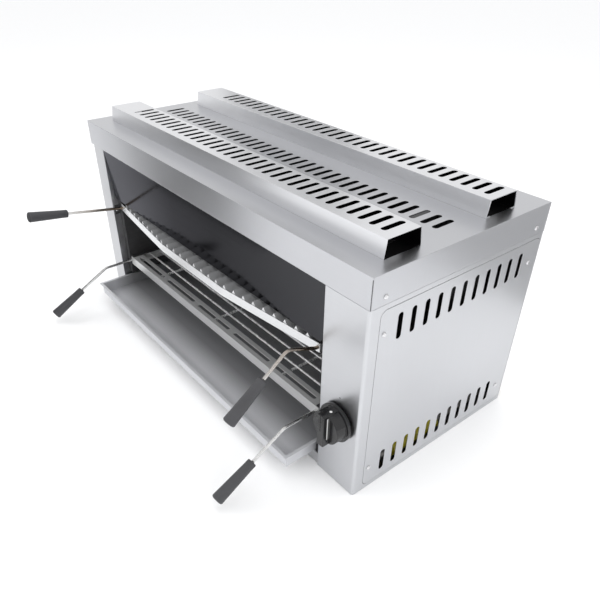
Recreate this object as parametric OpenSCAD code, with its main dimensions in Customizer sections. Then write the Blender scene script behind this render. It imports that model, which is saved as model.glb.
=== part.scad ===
/* [Casing] */
// width over the top cover
lid_w = 900; // [890:1:910]
// depth over the top cover
lid_d = 408; // [404:1:412]
// height of the cover's top face
lid_top = 420; // [416:1:424]
// depth of the cover's skirt
skirt_h = 51; // [46:1:56]
// casing sheet thickness
sheet = 1.2; // [1:0.1:1.5]
// slit at each corner of the skirt
corner_slit = 0.6; // [0.4:0.1:1]
// step from the cover's left edge in to the left casing
left_step = 10; // [8:1:12]
// width of the left front jamb
jamb_w = 48; // [44:1:52]
// width of the right front pillar
pillar_w = 90; // [86:1:94]
// depth of the returns behind the jamb and the pillar
return_d = 18; // [17:1:19]
// outer radius of the pillar's bend
pillar_bend_r = 5; // [3:1:7]
// how far the casing reaches up behind the skirt
tuck_h = 41; // [36:1:44]
// width of folded fixing flanges
flange_w = 15; // [12:1:16]
// height of the base pan's upturned edges
pan_edge_h = 12; // [8:1:12]
// height of the base pan's front lip
pan_lip_h = 24; // [20:1:26]
// overrun of a cut past the face it goes through
over = 1; // [0.5:0.5:2]
// rest gap between bodies that slide past each other
rest_gap = 0.3; // [0.2:0.1:0.5]

/* [Vents] */
// height of the vent ducts above the cover
duct_h = 29; // [26:1:32]
// width of a duct's top
duct_top_w = 67; // [63:1:71]
// how far each duct wall leans out at its foot
duct_lean = 4; // [2:1:6]
// left end of the ducts from the cover's left edge
duct_in_l = 30; // [25:1:35]
// right end of the rear duct from the cover's right edge
duct_in_r = 25; // [20:1:30]
// how much sooner the front duct ends at the right
duct_short = 2.5; // [1:0.5:4]
// centre line of the front duct from the cover's front
duct_in_front = 84; // [81:1:87]
// centre line of the rear duct from the cover's rear
duct_in_rear = 103; // [100:1:106]
// width of the flanges that seat a duct on the cover
duct_flange_w = 9; // [7:1:11]
// pitch of the top slots
vent_pitch = 23; // [22.6:0.1:23.2]
// width of a top slot
vent_w = 10.5; // [8:0.5:12]
// length of a top slot
vent_len = 45.5; // [40:0.5:47]
// least room from a duct's left end to its first slot
duct_vent_start = 76; // [70:1:82]
// least room from the cover's left edge to its first slot
cover_vent_start = 35; // [28:1:42]
// last slot of the front duct from its right end
front_vent_end = 26.2; // [24.2:0.5:30.2]
// last slot of the rear duct from its right end
rear_vent_end = 22; // [20:0.5:26]
// last slot of the cover's row from the cover's right edge
cover_vent_end = 53.3; // [49.3:0.5:57.3]
// slot row's shift back from the duct's middle
duct_vent_shift = 4.5; // [2.5:0.5:6.5]
// cover's slot row's shift back from midway between the ducts
cover_vent_shift = 6; // [4:0.5:8]
// width of the two openings in the cover under the ducts
flue_w = 40; // [36:1:44]
// ends of the opening under a duct from the duct's ends
flue_in = 32.5; // [26:0.5:40]

/* [Service panel] */
// panel front edge from the cover's front
panel_front = 23; // [21:1:25]
// panel rear edge from the cover's rear
panel_rear = 4; // [3:1:6]
// panel bottom edge above the base
panel_z0 = 8; // [6:1:10]
// panel top edge under the cover's top
panel_under = 61; // [59:1:63]
// seam between the panel and the right frame
panel_seam = 0.8; // [0.5:0.1:1.2]
// lap of the right frame behind the cover's skirt and round the panel
lap = 8; // [6:1:10]
// corner radius of the panel
panel_r = 12; // [8:1:14]
// rim of the access opening under the panel's front and rear edges
access_rim = 27; // [25:1:29]
// rim of the access opening under the panel's top and bottom edges
access_rim_z = 9; // [8:1:10]
// least room from the last side slot to the cover's rear
side_vent_end = 49; // [42:1:52]
// pitch of the side slots
side_pitch = 29; // [28.5:0.1:29.4]
// width of a side slot
side_vent_w = 10.5; // [8:0.5:12]
// length of a side slot
side_vent_len = 45.5; // [42:0.5:48]
// first side slot from the cover's front
side_vent_y0 = 65; // [63:1:67]
// centre of the upper side row under the cover's top
side_row_under = 100; // [97:1:103]
// centre height of the lower side row
side_row_low = 46; // [44:1:48]

/* [Screws] */
// screws in the front returns under the cover's top
tab_screw_under = 194; // [188:1:198]
// share of a head's height that is straight
head_share = 0.45; // [0.3:0.05:0.6]
// radius of the flat on a head
head_top_r = 2.6; // [2.2:0.1:3]
// height of the lowest of the three rear screws in each edge
edge_screw_z0 = 90; // [85:1:95]
// uppermost of the three rear screws under the cover's top
edge_screw_under = 80; // [70:1:90]
// radius of a screw head
head_r = 4.2; // [3.8:0.1:4.6]
// height of a screw head
head_h = 2.2; // [1.8:0.1:2.6]
// radius of a screw shank
shank_r = 2; // [1.8:0.1:2.2]
// length of a screw shank
shank_len = 8; // [6:1:10]
// radial clearance of a screw hole
hole_play = 0.1; // [0.05:0.05:0.2]
// panel screws from the cover's front
screw_front = 33; // [31:1:35]
// panel screws from the cover's rear
screw_rear = 26; // [24:1:28]
// cover's side screws from its front and rear
cover_screw_in = 28; // [26:1:30]
// upper panel screws under the cover's top
screw_high_under = 102; // [100:1:104]
// lower panel screw height
screw_z_low = 47; // [45:1:49]
// cover screws under the cover's top
screw_cover_under = 38; // [34:1:40]
// outer rear screws of the cover from its sides
rear_screw_side = 80; // [70:1:90]
// inner rear screws of the cover from the middle
rear_screw_in_x = 120; // [110:1:130]

/* [Cavity] */
// depth of the liners' fixing tabs against the front returns
tab_d = 11; // [10:1:12]
// height of the liners' fixing tabs
tab_h = 22; // [18:1:26]
// wall fixing holes from the cover's sides
wall_hole_side = 100; // [95:1:105]
// lower wall fixing holes above the base
wall_hole_z0 = 90; // [85:1:95]
// upper wall fixing holes under the cover's top
wall_hole_under = 70; // [65:1:75]
// radius of the wall fixing holes
wall_hole_r = 4.25; // [4:0.25:5]
// height of the left casing's step over the skirt's edge
step_h = 11; // [9:1:13]
// how far the step stays back from the cover's corners
step_in = 8; // [6:1:10]
// how far each side liner stands in from the front opening's edge
liner_in = 18; // [17:0.5:19]
// front edge of the side liners from the cover's front
liner_set = 15.8; // [15.6:0.1:16.2]
// rear face of the cavity from the cover's rear
liner_rear_set = 54; // [52:1:56]
// bottom of the liners
liner_z0 = 62; // [60:1:64]
// width of the liners' top flanges
liner_flange = 12; // [10:1:14]
// bottom of the front deflector under the cover's top
deflector_under = 166; // [164:1:168]
// how far the deflector's foot lies behind its head
deflector_lean = 10; // [8:1:11]
// height of the deflector's flange behind the fascia
deflector_tuck = 30; // [26:1:34]
// depth of the deflector's hem
deflector_hem = 4; // [3:0.5:4.5]
// gap at each end of the deflector
deflector_gap = 2; // [1:0.5:3]
// burner shelf under the cover's top
shelf_under = 120; // [118:1:122]
// depth of the shelf's turned-down edges
shelf_edge = 14; // [12:1:16]

/* [Runners] */
// side gap between a runner's leg and the rack's top
runner_gap = 1; // [0.5:0.5:2]
// runner sheet thickness
run_t = 1.5; // [1.2:0.1:1.6]
// width of a runner's legs
run_leg = 12; // [11:1:13]
// height inside a runner
run_h = 15.8; // [15.4:0.1:16.4]
// floor of the upper runners under the cover's top
run_high_under = 191.3; // [191:0.1:192]
// floor of the lower runners
run_low_z = 92; // [91:0.1:92.4]
// height of the ledge that carries the drip tray
tray_ledge = 27.7; // [27:0.1:28]
// height of the drip tray's side guides
guide_h = 40; // [38:1:42]

/* [Shelves] */
// lower edge of the rack's front bar under the runner floor
bar_drop = 4; // [3:0.5:5]
// gap between a shelf and the liner at each side
shelf_gap = 4; // [3.5:0.5:5]
// ends of the brander frame's lip from the cover's front
bar_set = 14; // [13:0.5:15]
// front face of the toasting rack's bar from the cover's front
rack_set = 17; // [16:0.5:18]
// gap between the shelves and the cavity's rear face
shelf_stop = 10; // [6:1:12]
// height of a shelf's side rail
rail_h = 14.5; // [14:0.1:15]
// thickness of a shelf's side rail
rail_t = 1.5; // [1.2:0.1:2]
// width of a shelf rail's foot
rail_foot = 14; // [13:1:16]
// height of the brander frame's front lip
lip_h = 17; // [15:1:18]
// forward bow of the lip at its middle
lip_bow = 27; // [22:1:32]
// length of the lip's straight middle
lip_flat = 220; // [190:1:250]
// thickness of the lip
lip_t = 1.5; // [1.2:0.1:2]
// width of the lip's foot
lip_foot = 14; // [12:1:16]
// least flat of the brander plate beside the ridges
ridge_side = 12; // [10:1:20]
// pitch of the ridges
ridge_pitch = 26; // [24:0.5:28]
// height of the ridges
ridge_h = 21; // [17:1:21]
// thickness of the ridged plate
ridge_t = 1.6; // [1.2:0.1:2]
// height of the toasting rack's front bar
rack_bar_h = 20; // [18:1:22]
// depth of the top of the rack's front bar
rack_bar_d = 27; // [25:1:29]
// least length of the rack's front bar beside its slots
bar_slot_side = 10; // [8:1:12]
// length of a long slot
bar_slot_len = 118; // [110:1:124]
// pitch of the long slots
bar_slot_pitch = 136; // [132:1:138]
// width of a long slot
bar_slot_w = 8; // [6:0.5:9]
// radius of the rack wires
wire_r = 2.3; // [2:0.1:2.6]
// radius of the wires under them
under_r = 2.8; // [2.4:0.1:3]
// least room from the last rack wire to the rack's rear
wire_end = 8; // [6:1:10]
// pitch of the rack wires
wire_pitch = 26.5; // [25:0.5:27]
// first wire behind the rack's front face
wire_y0 = 47; // [45:1:50]
// outer under wires from the rack's sides
under_in = 120; // [104:1:134]

/* [Handles] */
// radial play of the rods in the front bars
rod_play = 0.1; // [0.05:0.05:0.2]
// depth of the rounded end of a grip
grip_end = 3; // [2:0.5:4]
// how far a rod runs straight in front of the bar
rod_lead = 4; // [3:0.5:6]
// how far the right upper rod's bend is cut short on each side
bend_cut = 6; // [4:0.5:8]
// how far a rod swells at a bend, as a share of its radius
rod_swell_share = 1.1; // [1.08:0.01:1.14]
// how far a rod's straight runs end before a bend, as a share of its radius
rod_cut_share = 0.34; // [0.3:0.01:0.38]
// radius of a handle rod
rod_r = 3; // [2.6:0.1:3.2]
// how far a rod runs back along the rail
rod_back = 40; // [30:1:50]
// height of the upper rods over the brander frame's underside
rod_high = 8.5; // [7:0.5:10]
// height of the lower rods over the rack rails' underside
rod_low = 8.7; // [7.7:0.5:9.7]
// length of the upper rods' stub
high_stub = 62; // [58:1:66]
// rise of the right upper rod's stub, degrees
high_rise_angle = 21; // [18:1:24]
// length of the right upper rod past its bend
high_drop_len = 58; // [54:1:62]
// drop of the right upper rod past its bend, degrees
high_drop_angle = 37; // [33:1:40]
// length of the left upper rod, which has no bend
straight_len = 126; // [120:1:130]
// rise of the left upper rod, degrees
straight_rise_angle = 9; // [6:1:12]
// length of the lower rods' stub
low_stub = 70; // [66:1:74]
// length of a lower rod past its bend
low_drop_len = 77; // [72:1:82]
// drop of a lower rod past its bend, degrees
low_drop_angle = 29; // [26:1:32]
// length of a grip
grip_len = 84; // [80:1:88]
// radius of a grip where the rod enters
grip_r0 = 8.2; // [7.6:0.1:8.8]
// radius of a grip at its far end
grip_r1 = 11; // [10:0.1:12]
// depth of the rod inside a grip
grip_depth = 50; // [40:1:60]

/* [Drip tray] */
// thickness of the tray runners
ledge_t = 1.5; // [1.2:0.1:1.8]
// width of the tray runners' ledges
ledge_w = 13; // [12:0.5:14]
// side play between the tray and its guides
tray_play = 0.5; // [0.4:0.1:1]
// gap between the tray runners and the cavity's rear face
ledge_stop = 2; // [1:0.5:4]
// gap between the tray and each side of the front opening
tray_side = 5; // [4.5:0.5:6]
// how much shorter the tray is than the cavity from the cover's front
tray_short = 6; // [4:1:12]
// how far the tray stands out in front of the cover
tray_out = 68; // [66:1:70]
// bottom of the tray above the base
tray_z0 = 28; // [28:0.1:28.3]
// height of the tray
tray_h = 26; // [24:1:28]
// tray sheet thickness
tray_t = 1.2; // [1:0.1:1.5]
// width of the tray's turned rim
tray_rim = 5; // [4:0.5:6]

/* [Gas controls] */
// half height of the valve's fixing flange
valve_flange_z = 20; // [18:1:22]
// half width of the valve's fixing flange
valve_flange_x = 30; // [28:1:32]
// thickness of the valve's fixing flange
valve_flange_t = 3; // [2:0.5:4]
// radius of the valve's gas ports
port_r = 11; // [10:0.5:12]
// height of the valve's gas ports
port_h = 8; // [6:1:10]
// rear end of the spindle from the cover's front
spindle_in = 34; // [33:1:35]
// length of the spindle
spindle_len = 56; // [54:1:58]
// length of the flat on the spindle's end
flat_len = 16; // [14:1:18]
// radius of the hole in the pillar for the spindle
spindle_hole_r = 6.5; // [6:0.5:7.5]
// radius of the plunger's collar
collar_r = 4.4; // [4:0.1:4.6]
// thickness of the plunger's collar
collar_t = 2; // [1.5:0.5:2.5]
// width of the groove that marks the knob's bar
mark_w = 1.6; // [1.2:0.1:2]
// depth of the groove that marks the knob's bar
mark_d = 0.6; // [0.4:0.1:0.8]
// height of the knob's centre
knob_z = 140; // [138:1:142]
// radius of the knob's skirt
knob_skirt_r = 34; // [32:1:36]
// depth of the knob's skirt
knob_skirt_h = 6; // [5:0.5:7]
// radius of the knob's barrel
knob_barrel_r = 29; // [27:1:31]
// depth of the knob's barrel
knob_barrel_h = 19; // [17:1:21]
// width of the knob's grip bar
knob_bar_w = 15; // [13:1:17]
// depth of the knob's grip bar
knob_bar_h = 10; // [8:1:12]
// gap behind the knob, more than its push
knob_gap = 3.6; // [3.4:0.1:5]
// radius of the valve spindle
spindle_r = 5; // [4.5:0.5:5.5]
// radial clearance of turning fits
turn_play = 0.05; // [0.03:0.01:0.08]
// depth of the flat on the spindle's end
spindle_flat = 1.5; // [1:0.1:2]
// radius of the valve's nose
nose_r = 11; // [10:0.5:12]
// half width of the valve body
valve_half = 20; // [18:1:22]
// front of the valve body behind the pillar
valve_gap = 16; // [15:1:18]
// depth of the valve body
valve_d = 46; // [44:1:50]
// radius of the plunger
plunger_r = 3; // [2.6:0.1:3.4]
// length of the plunger
plunger_len = 16; // [14:1:18]
// room for the push behind the plunger
push_room = 4; // [3.6:0.2:5]

/* [Gas line] */
// outer thickness of hexagon nuts
nut_t = 7; // [6:0.5:8]
// radius of the inlet's bore
inlet_bore_r = 7; // [6:0.5:7.5]
// radial gap of the inlet's hole in the rear panel
inlet_play = 0.3; // [0.2:0.1:0.5]
// radius of an injector
injector_r = 5; // [4:0.5:6]
// length of an injector
injector_len = 7; // [6:0.5:8]
// radius of an injector's orifice
orifice_r = 1; // [0.6:0.1:1.4]
// radius of the manifold's bosses
boss_r = 6.5; // [6:0.5:7]
// reach of the manifold's bosses from its centre
boss_len = 13; // [12:0.5:14]
// width of a manifold clip
clip_w = 14; // [10:1:16]
// wall of a manifold clip
clip_wall = 4; // [3:0.5:5]
// manifold clips from the burners' middle
clip_x = 100; // [90:1:110]
// depth of the pipe shield
shield_d = 107; // [100:1:115]
// rear edge of the pipe shield from the cover's rear
shield_back = 99; // [94:1:104]
// top of the pipe shield under the cover's top
shield_under = 74; // [72:1:76]
// height of the pipe shield
shield_h = 131; // [121:1:141]
// how far the pipe shield stands out from the liner
shield_out = 77; // [75:1:78]
// depth of the pipe shield's fixing flange
shield_flange = 16; // [14:1:18]
// gas inlet from the cover's right side
inlet_side = 24; // [23:1:25]
// height of the gas inlet
inlet_z = 25; // [24:1:26]
// radius of the inlet's threaded end
inlet_r = 10.5; // [10:0.1:10.6]
// how far the threaded end stands out of the rear
inlet_out = 22; // [20:1:24]
// radius of the inlet pipe
pipe_r = 9; // [8:0.5:9.5]
// radius of the yellow sleeve on the inlet pipe
sleeve_r = 15; // [14:0.5:15.5]
// front end of the sleeve from the cover's front
sleeve_front = 109; // [106:1:112]
// rear end of the sleeve from the cover's rear
sleeve_back = 182; // [178:1:186]
// radius of the feed pipe and the manifold's inlet
feed_r = 5; // [4:0.5:5.5]
// radius of the manifold
manifold_r = 8; // [7:0.5:9]
// manifold under the cover's top
manifold_under = 94; // [93:1:95]
// manifold centre behind the cavity's rear face
manifold_back = 28; // [26:1:30]
// how far the manifold runs on past its left boss
manifold_end = 11; // [9:1:20]
// across-flats half width of hexagon nuts
nut_half = 12; // [11:0.5:13]

/* [Burners] */
// pilot burner from the cover's front
pilot_in = 54; // [53:0.5:55]
// thermocouple from the cover's front
probe_in = 68; // [67:0.5:69]
// pilot burner and thermocouple under the burner shelf
probe_under = 10; // [9:0.5:11]
// radius of the pilot burner
pilot_r = 4.5; // [4:0.5:5]
// length of the pilot burner
pilot_len = 34; // [30:1:38]
// depth of the front flue opening in the shelf
flue_front_d = 36; // [30:1:40]
// depth of the rear flue opening in the shelf
flue_rear_d = 24; // [20:1:28]
// flue openings' setback from the cavity's front and rear
flue_set = 12; // [10:1:14]
// flue openings' setback from the liners
flue_side = 30; // [24:1:40]
// gap between a burner and the liner beside it
burner_side = 15; // [10:1:20]
// gap between the burners and the cavity's rear face
burner_back = 48; // [42:1:56]
// height of a burner
burner_h = 46; // [42:1:50]
// gap between the two burners
burner_gap = 26; // [22:1:30]
// front of the burners from the cover's front
burner_in = 76; // [72:1:80]
// burner sheet thickness
burner_t = 1.5; // [1.2:0.1:1.8]
// ledge of the shelf under a burner's edge
burner_ledge = 9; // [8:1:10]
// thickness of a ceramic plaque
plaque_t = 12; // [11:1:13]
// number of tiles in a plaque
plaque_tiles = 5; // [4:1:6]
// width and depth of the joints between tiles
tile_joint = 1.6; // [1.2:0.1:2]
// radius of a burner's mixing tube
mixer_r = 16; // [14:0.5:16.5]
// how far a mixing tube reaches past the rear liner
mixer_out = 7; // [6:1:8]
// radius of a guard wire
guard_r = 1.3; // [1.1:0.1:1.5]
// guard wires running front to back
guard_bars = 10; // [8:1:12]
// radius of the capillary and the pilot pipe
thin_r = 2; // [1.6:0.1:2.2]

/* [Hidden] */
$fn = 64;
lx = lid_w / 2;
ly = lid_d / 2;
duct_x0 = duct_in_l - lx;
duct_x1 = lx - duct_in_r;
duct_front_y = duct_in_front - ly;
duct_rear_y = ly - duct_in_rear;
front_duct_x1 = duct_x1 - duct_short;
front_vent_x1 = front_duct_x1 - front_vent_end;
rear_vent_x1 = duct_x1 - rear_vent_end;
cover_vent_x1 = lx - cover_vent_end;
duct_vents = floor((front_vent_x1 - duct_x0 - duct_vent_start) / vent_pitch) + 1;
cover_vents = floor((cover_vent_x1 + lx - cover_vent_start) / vent_pitch) + 1;
side_vents = floor((lid_d - side_vent_y0 - side_vent_end) / side_pitch) + 1;
cover_vent_y = (duct_front_y + duct_rear_y) / 2 + cover_vent_shift;
flue_len = duct_x1 - duct_x0 - 2 * flue_in;
panel_z1 = lid_top - panel_under;
side_row_high = lid_top - side_row_under;
tab_screw_z = lid_top - tab_screw_under;
edge_screw_pitch = (lid_top - edge_screw_under - edge_screw_z0) / 2;
screw_z_high = lid_top - screw_high_under;
screw_z_cover = lid_top - screw_cover_under;
rear_screw_x = lx - rear_screw_side;
wall_hole_x = lx - wall_hole_side;
wall_hole_z1 = lid_top - wall_hole_under;
lid_under = lid_top - sheet;
skirt_z = lid_top - skirt_h;
casing_top = skirt_z + tuck_h;
frame_top = skirt_z - rest_gap;
left_out = left_step - lx;
left_in = left_out + sheet;
right_out = lx - sheet;
right_in = right_out - sheet;
front_out = sheet - ly;
front_in = front_out + sheet;
rear_out = ly - sheet;
rear_in = rear_out - sheet;
open_l = left_out + jamb_w;
open_r = lx - pillar_w;
return_y = front_out + return_d;
fine_fn = 32;
small_fn = 24;

cav_l = open_l + liner_in;
cav_r = open_r - liner_in;
cav_x = (cav_l + cav_r) / 2;
liner_front = liner_set - ly;
liner_rear = ly - liner_rear_set;
deflector_z0 = lid_top - deflector_under;
shelf_z = lid_top - shelf_under;
run_high_z = lid_top - run_high_under;
shelf_w = cav_r - cav_l - 2 * shelf_gap;
shelf_rear = liner_rear - shelf_stop;
bar_front = bar_set - ly;
rack_front = rack_set - ly;
ridges = floor((shelf_w - 2 * ridge_side) / ridge_pitch);
bar_slots = floor((shelf_w - 2 * bar_slot_side) / bar_slot_pitch);
wires = floor((shelf_rear - rack_front - wire_y0 - wire_end) / wire_pitch) + 1;
under_x = shelf_w / 2 - under_in;
shelf_l = cav_x - shelf_w / 2;
shelf_r = cav_x + shelf_w / 2;
panel_y0 = panel_front - ly;
panel_y1 = ly - panel_rear;
access_y0 = panel_y0 + access_rim;
access_y1 = panel_y1 - access_rim;
side_y0 = side_vent_y0 - ly;
side_screw_y = [screw_front - ly, ly - screw_rear];
cover_screw_y = [cover_screw_in - ly, ly - cover_screw_in];
side_screw_z = [screw_z_low, screw_z_high];
tab_y = liner_front - tab_d / 2;
edge_screw_z = [for (k = [0 : 2]) edge_screw_z0 + k * edge_screw_pitch];
rear_flange_z0 = inlet_z + 3 * nut_half;
duct_mid = (duct_x0 + duct_x1) / 2;
duct_foot = duct_top_w / 2 + duct_lean;
rail_high_z = run_high_z + rest_gap;
rail_low_z = run_low_z + rest_gap;
rod_high_z = rail_high_z + rod_high;
rod_low_z = rail_low_z + rod_low;
plate_z = rail_high_z + rail_t;
rod_x_l = shelf_l + rail_t + rod_r;
rod_x_r = shelf_r - rail_t - rod_r;
rack_z0 = run_low_z - bar_drop;
rack_z1 = rack_z0 + rack_bar_h;
rack_rail_top = rail_low_z + rail_h;
wire_z = rack_rail_top - wire_r;
under_z = wire_z - wire_r - under_r;
ledge_rear = liner_rear - ledge_stop;
tray_l = open_l + tray_side;
tray_r = open_r - tray_side;
tray_front = -ly - tray_out;
tray_len = liner_rear + ly - tray_short;
guide_l = tray_l + tray_rim - tray_play;
guide_r = tray_r - tray_rim + tray_play;
burner_z = shelf_z + sheet;
burner_w = (cav_r - cav_l - burner_gap) / 2 - burner_side;
burner_l = cav_l + burner_side;
burner_r = cav_x + burner_gap / 2;
burner_front = burner_in - ly;
burner_rear = liner_rear - burner_back;
burner_d = burner_rear - burner_front;
pilot_y = pilot_in - ly;
probe_y = probe_in - ly;
probe_z = shelf_z - probe_under;
shield_y1 = ly - shield_back;
shield_y0 = shield_y1 - shield_d;
shield_z1 = lid_top - shield_under;
shield_z0 = shield_z1 - shield_h;
manifold_z = lid_top - manifold_under;
manifold_x0 = burner_l + burner_w / 2 - manifold_end;
manifold_y = liner_rear + manifold_back;
knob_x = lx - pillar_w / 2;
inlet_x = lx - inlet_side;
sleeve_y0 = sleeve_front - ly;
sleeve_y1 = ly - sleeve_back;
spindle_rear = spindle_in - ly;
manifold_x1 = knob_x - valve_half / 2;
valve_y0 = front_in + valve_gap;
valve_y1 = valve_y0 + valve_d;
valve_y = (valve_y0 + valve_y1) / 2;
knob_back = -ly - knob_gap;
knob_face = knob_back - knob_skirt_h - knob_barrel_h - knob_bar_h;
plunger_front = spindle_rear + rest_gap;
collar_end = plunger_front + collar_t;

module block(a, b) {
  translate(a) cube(b - a);
}

module bar(p, q, r) {
  v = q - p;
  reach = norm(v);
  translate(p)
    rotate([0, acos(v[2] / reach), atan2(v[1], v[0])])
      cylinder(h = reach, r = r);
}

module run(points, r, bend_r) {
  for (k = [0 : len(points) - 2]) {
    bar(points[k], points[k + 1], r);
  }
  for (k = [1 : 1 : len(points) - 2]) {
    translate(points[k]) sphere(r = bend_r);
  }
}

module along_x(x0, x1) {
  translate([x0, 0, 0])
    rotate([90, 0, 90])
      linear_extrude(height = x1 - x0) children();
}

module along_y(y0, y1) {
  translate([0, y1, 0])
    rotate([90, 0, 0])
      linear_extrude(height = y1 - y0) children();
}

module slot_y(x, y, z0, z1, reach, w) {
  half = (reach - w) / 2;
  block([x - w / 2, y - half, z0], [x + w / 2, y + half, z1]);
  for (s = [-1, 1]) {
    translate([x, y + s * half, z0]) cylinder(h = z1 - z0, r = w / 2, $fn = fine_fn);
  }
}

module slot_x(x, y, z0, z1, reach, w) {
  half = (reach - w) / 2;
  block([x - half, y - w / 2, z0], [x + half, y + w / 2, z1]);
  for (s = [-1, 1]) {
    translate([x + s * half, y, z0]) cylinder(h = z1 - z0, r = w / 2, $fn = fine_fn);
  }
}

module side_slot(y, z, x0, x1) {
  half = (side_vent_len - side_vent_w) / 2;
  block([x0, y - side_vent_w / 2, z - half], [x1, y + side_vent_w / 2, z + half]);
  for (s = [-1, 1]) {
    translate([x0, y, z + s * half])
      rotate([0, 90, 0]) cylinder(h = x1 - x0, r = side_vent_w / 2, $fn = fine_fn);
  }
}

module hole_x(y, z, x0, x1, r) {
  translate([x0, y, z]) rotate([0, 90, 0]) cylinder(h = x1 - x0, r = r, $fn = fine_fn);
}

module hole_y(x, z, y0, y1, r) {
  translate([x, y0, z]) rotate([-90, 0, 0]) cylinder(h = y1 - y0, r = r);
}

module screw(reach) {
  rotate([0, 90, 0]) {
    cylinder(h = head_share * head_h, r = head_r, $fn = fine_fn);
    translate([0, 0, head_share * head_h])
      cylinder(h = head_h - head_share * head_h, r1 = head_r, r2 = head_top_r, $fn = fine_fn);
  }
  rotate([0, -90, 0]) cylinder(h = reach, r = shank_r, $fn = small_fn);
}

module cover_screw_holes(x0, x1) {
  for (y = cover_screw_y) {
    hole_x(y, screw_z_cover, x0, x1, shank_r + hole_play);
  }
}

module cover_rear_holes(y0, y1) {
  for (x = [-rear_screw_x, -rear_screw_in_x, rear_screw_in_x, rear_screw_x]) {
    hole_y(x, screw_z_cover, y0, y1, shank_r + hole_play);
  }
}

module edge_holes(y0, y1) {
  for (x = [left_in + flange_w / 2, right_in - flange_w / 2], z = edge_screw_z) {
    hole_y(x, z, y0, y1, shank_r + hole_play);
  }
}

module top_cover() {
  color([0.78, 0.79, 0.80])
  difference() {
    union() {
      block([-lx, -ly, lid_under], [lx, ly, lid_top]);
      block([-lx, -ly, skirt_z], [lx, front_out, lid_under]);
      block([-lx, rear_out, skirt_z], [lx, ly, lid_under]);
      for (x = [-lx, right_out]) {
        block([x, front_out + corner_slit, skirt_z],
          [x + sheet, rear_out - corner_slit, lid_under]);
      }
    }
    for (k = [0 : cover_vents - 1]) {
      slot_y(cover_vent_x1 - k * vent_pitch, cover_vent_y, lid_under - over, lid_top + over,
        vent_len, vent_w);
    }
    for (y = [duct_front_y, duct_rear_y]) {
      block([duct_mid - flue_len / 2, y - flue_w / 2, lid_under - over],
        [duct_mid + flue_len / 2, y + flue_w / 2, lid_top + over]);
    }
    cover_screw_holes(right_out - over, lx + over);
    cover_screw_holes(-lx - over, sheet + over - lx);
    cover_rear_holes(rear_out - over, ly + over);
  }
}

module duct(y, x1, last) {
  half = duct_top_w / 2;
  inner = duct_foot - sheet - duct_flange_w;
  difference() {
    translate([0, y, lid_top])
      along_x(duct_x0, x1)
        polygon([[-duct_foot, 0], [-half, duct_h], [half, duct_h], [duct_foot, 0], [inner, 0],
          [inner, sheet], [duct_foot - sheet, sheet], [half - sheet, duct_h - sheet],
          [sheet - half, duct_h - sheet], [sheet - duct_foot, sheet], [-inner, sheet],
          [-inner, 0]]);
    for (k = [0 : duct_vents - 1]) {
      slot_y(last - k * vent_pitch, y + duct_vent_shift, lid_top + duct_h - sheet - over,
        lid_top + duct_h + over, vent_len, vent_w);
    }
  }
}

module front_duct() {
  color([0.78, 0.79, 0.80]) duct(duct_front_y, front_duct_x1, front_vent_x1);
}

module rear_duct() {
  color([0.78, 0.79, 0.80]) duct(duct_rear_y, duct_x1, rear_vent_x1);
}

module left_casing() {
  step_z = skirt_z + step_h;
  color([0.78, 0.79, 0.80])
  difference() {
    union() {
      block([left_out, front_out, 0], [left_in, rear_in, step_z]);
      block([sheet - lx, step_in - ly, step_z - sheet], [left_out, ly - step_in, step_z]);
      block([sheet - lx, step_in - ly, step_z], [2 * sheet - lx, ly - step_in, casing_top]);
      block([left_out, front_out, 0], [open_l, front_in, casing_top]);
      block([open_l - sheet, front_in, sheet], [open_l, return_y, casing_top]);
      block([left_in, rear_in - sheet, pan_edge_h + sheet], [left_in + flange_w, rear_in, step_z]);
    }
    cover_screw_holes(-lx, 2 * sheet - lx + over);
    hole_x(tab_y, tab_screw_z, open_l - sheet - over, open_l + over, shank_r + hole_play);
    edge_holes(rear_in - sheet - over, rear_in + over);
  }
}

module panel_form(x0, x1, grow) {
  r = panel_r + grow;
  y0 = panel_y0 - grow;
  y1 = panel_y1 + grow;
  z0 = panel_z0 - grow;
  z1 = panel_z1 + grow;
  block([x0, y0 + r, z0], [x1, y1 - r, z1]);
  block([x0, y0, z0 + r], [x1, y1, z1 - r]);
  for (y = [y0 + r, y1 - r], z = [z0 + r, z1 - r]) {
    hole_x(y, z, x0, x1, r);
  }
}

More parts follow.
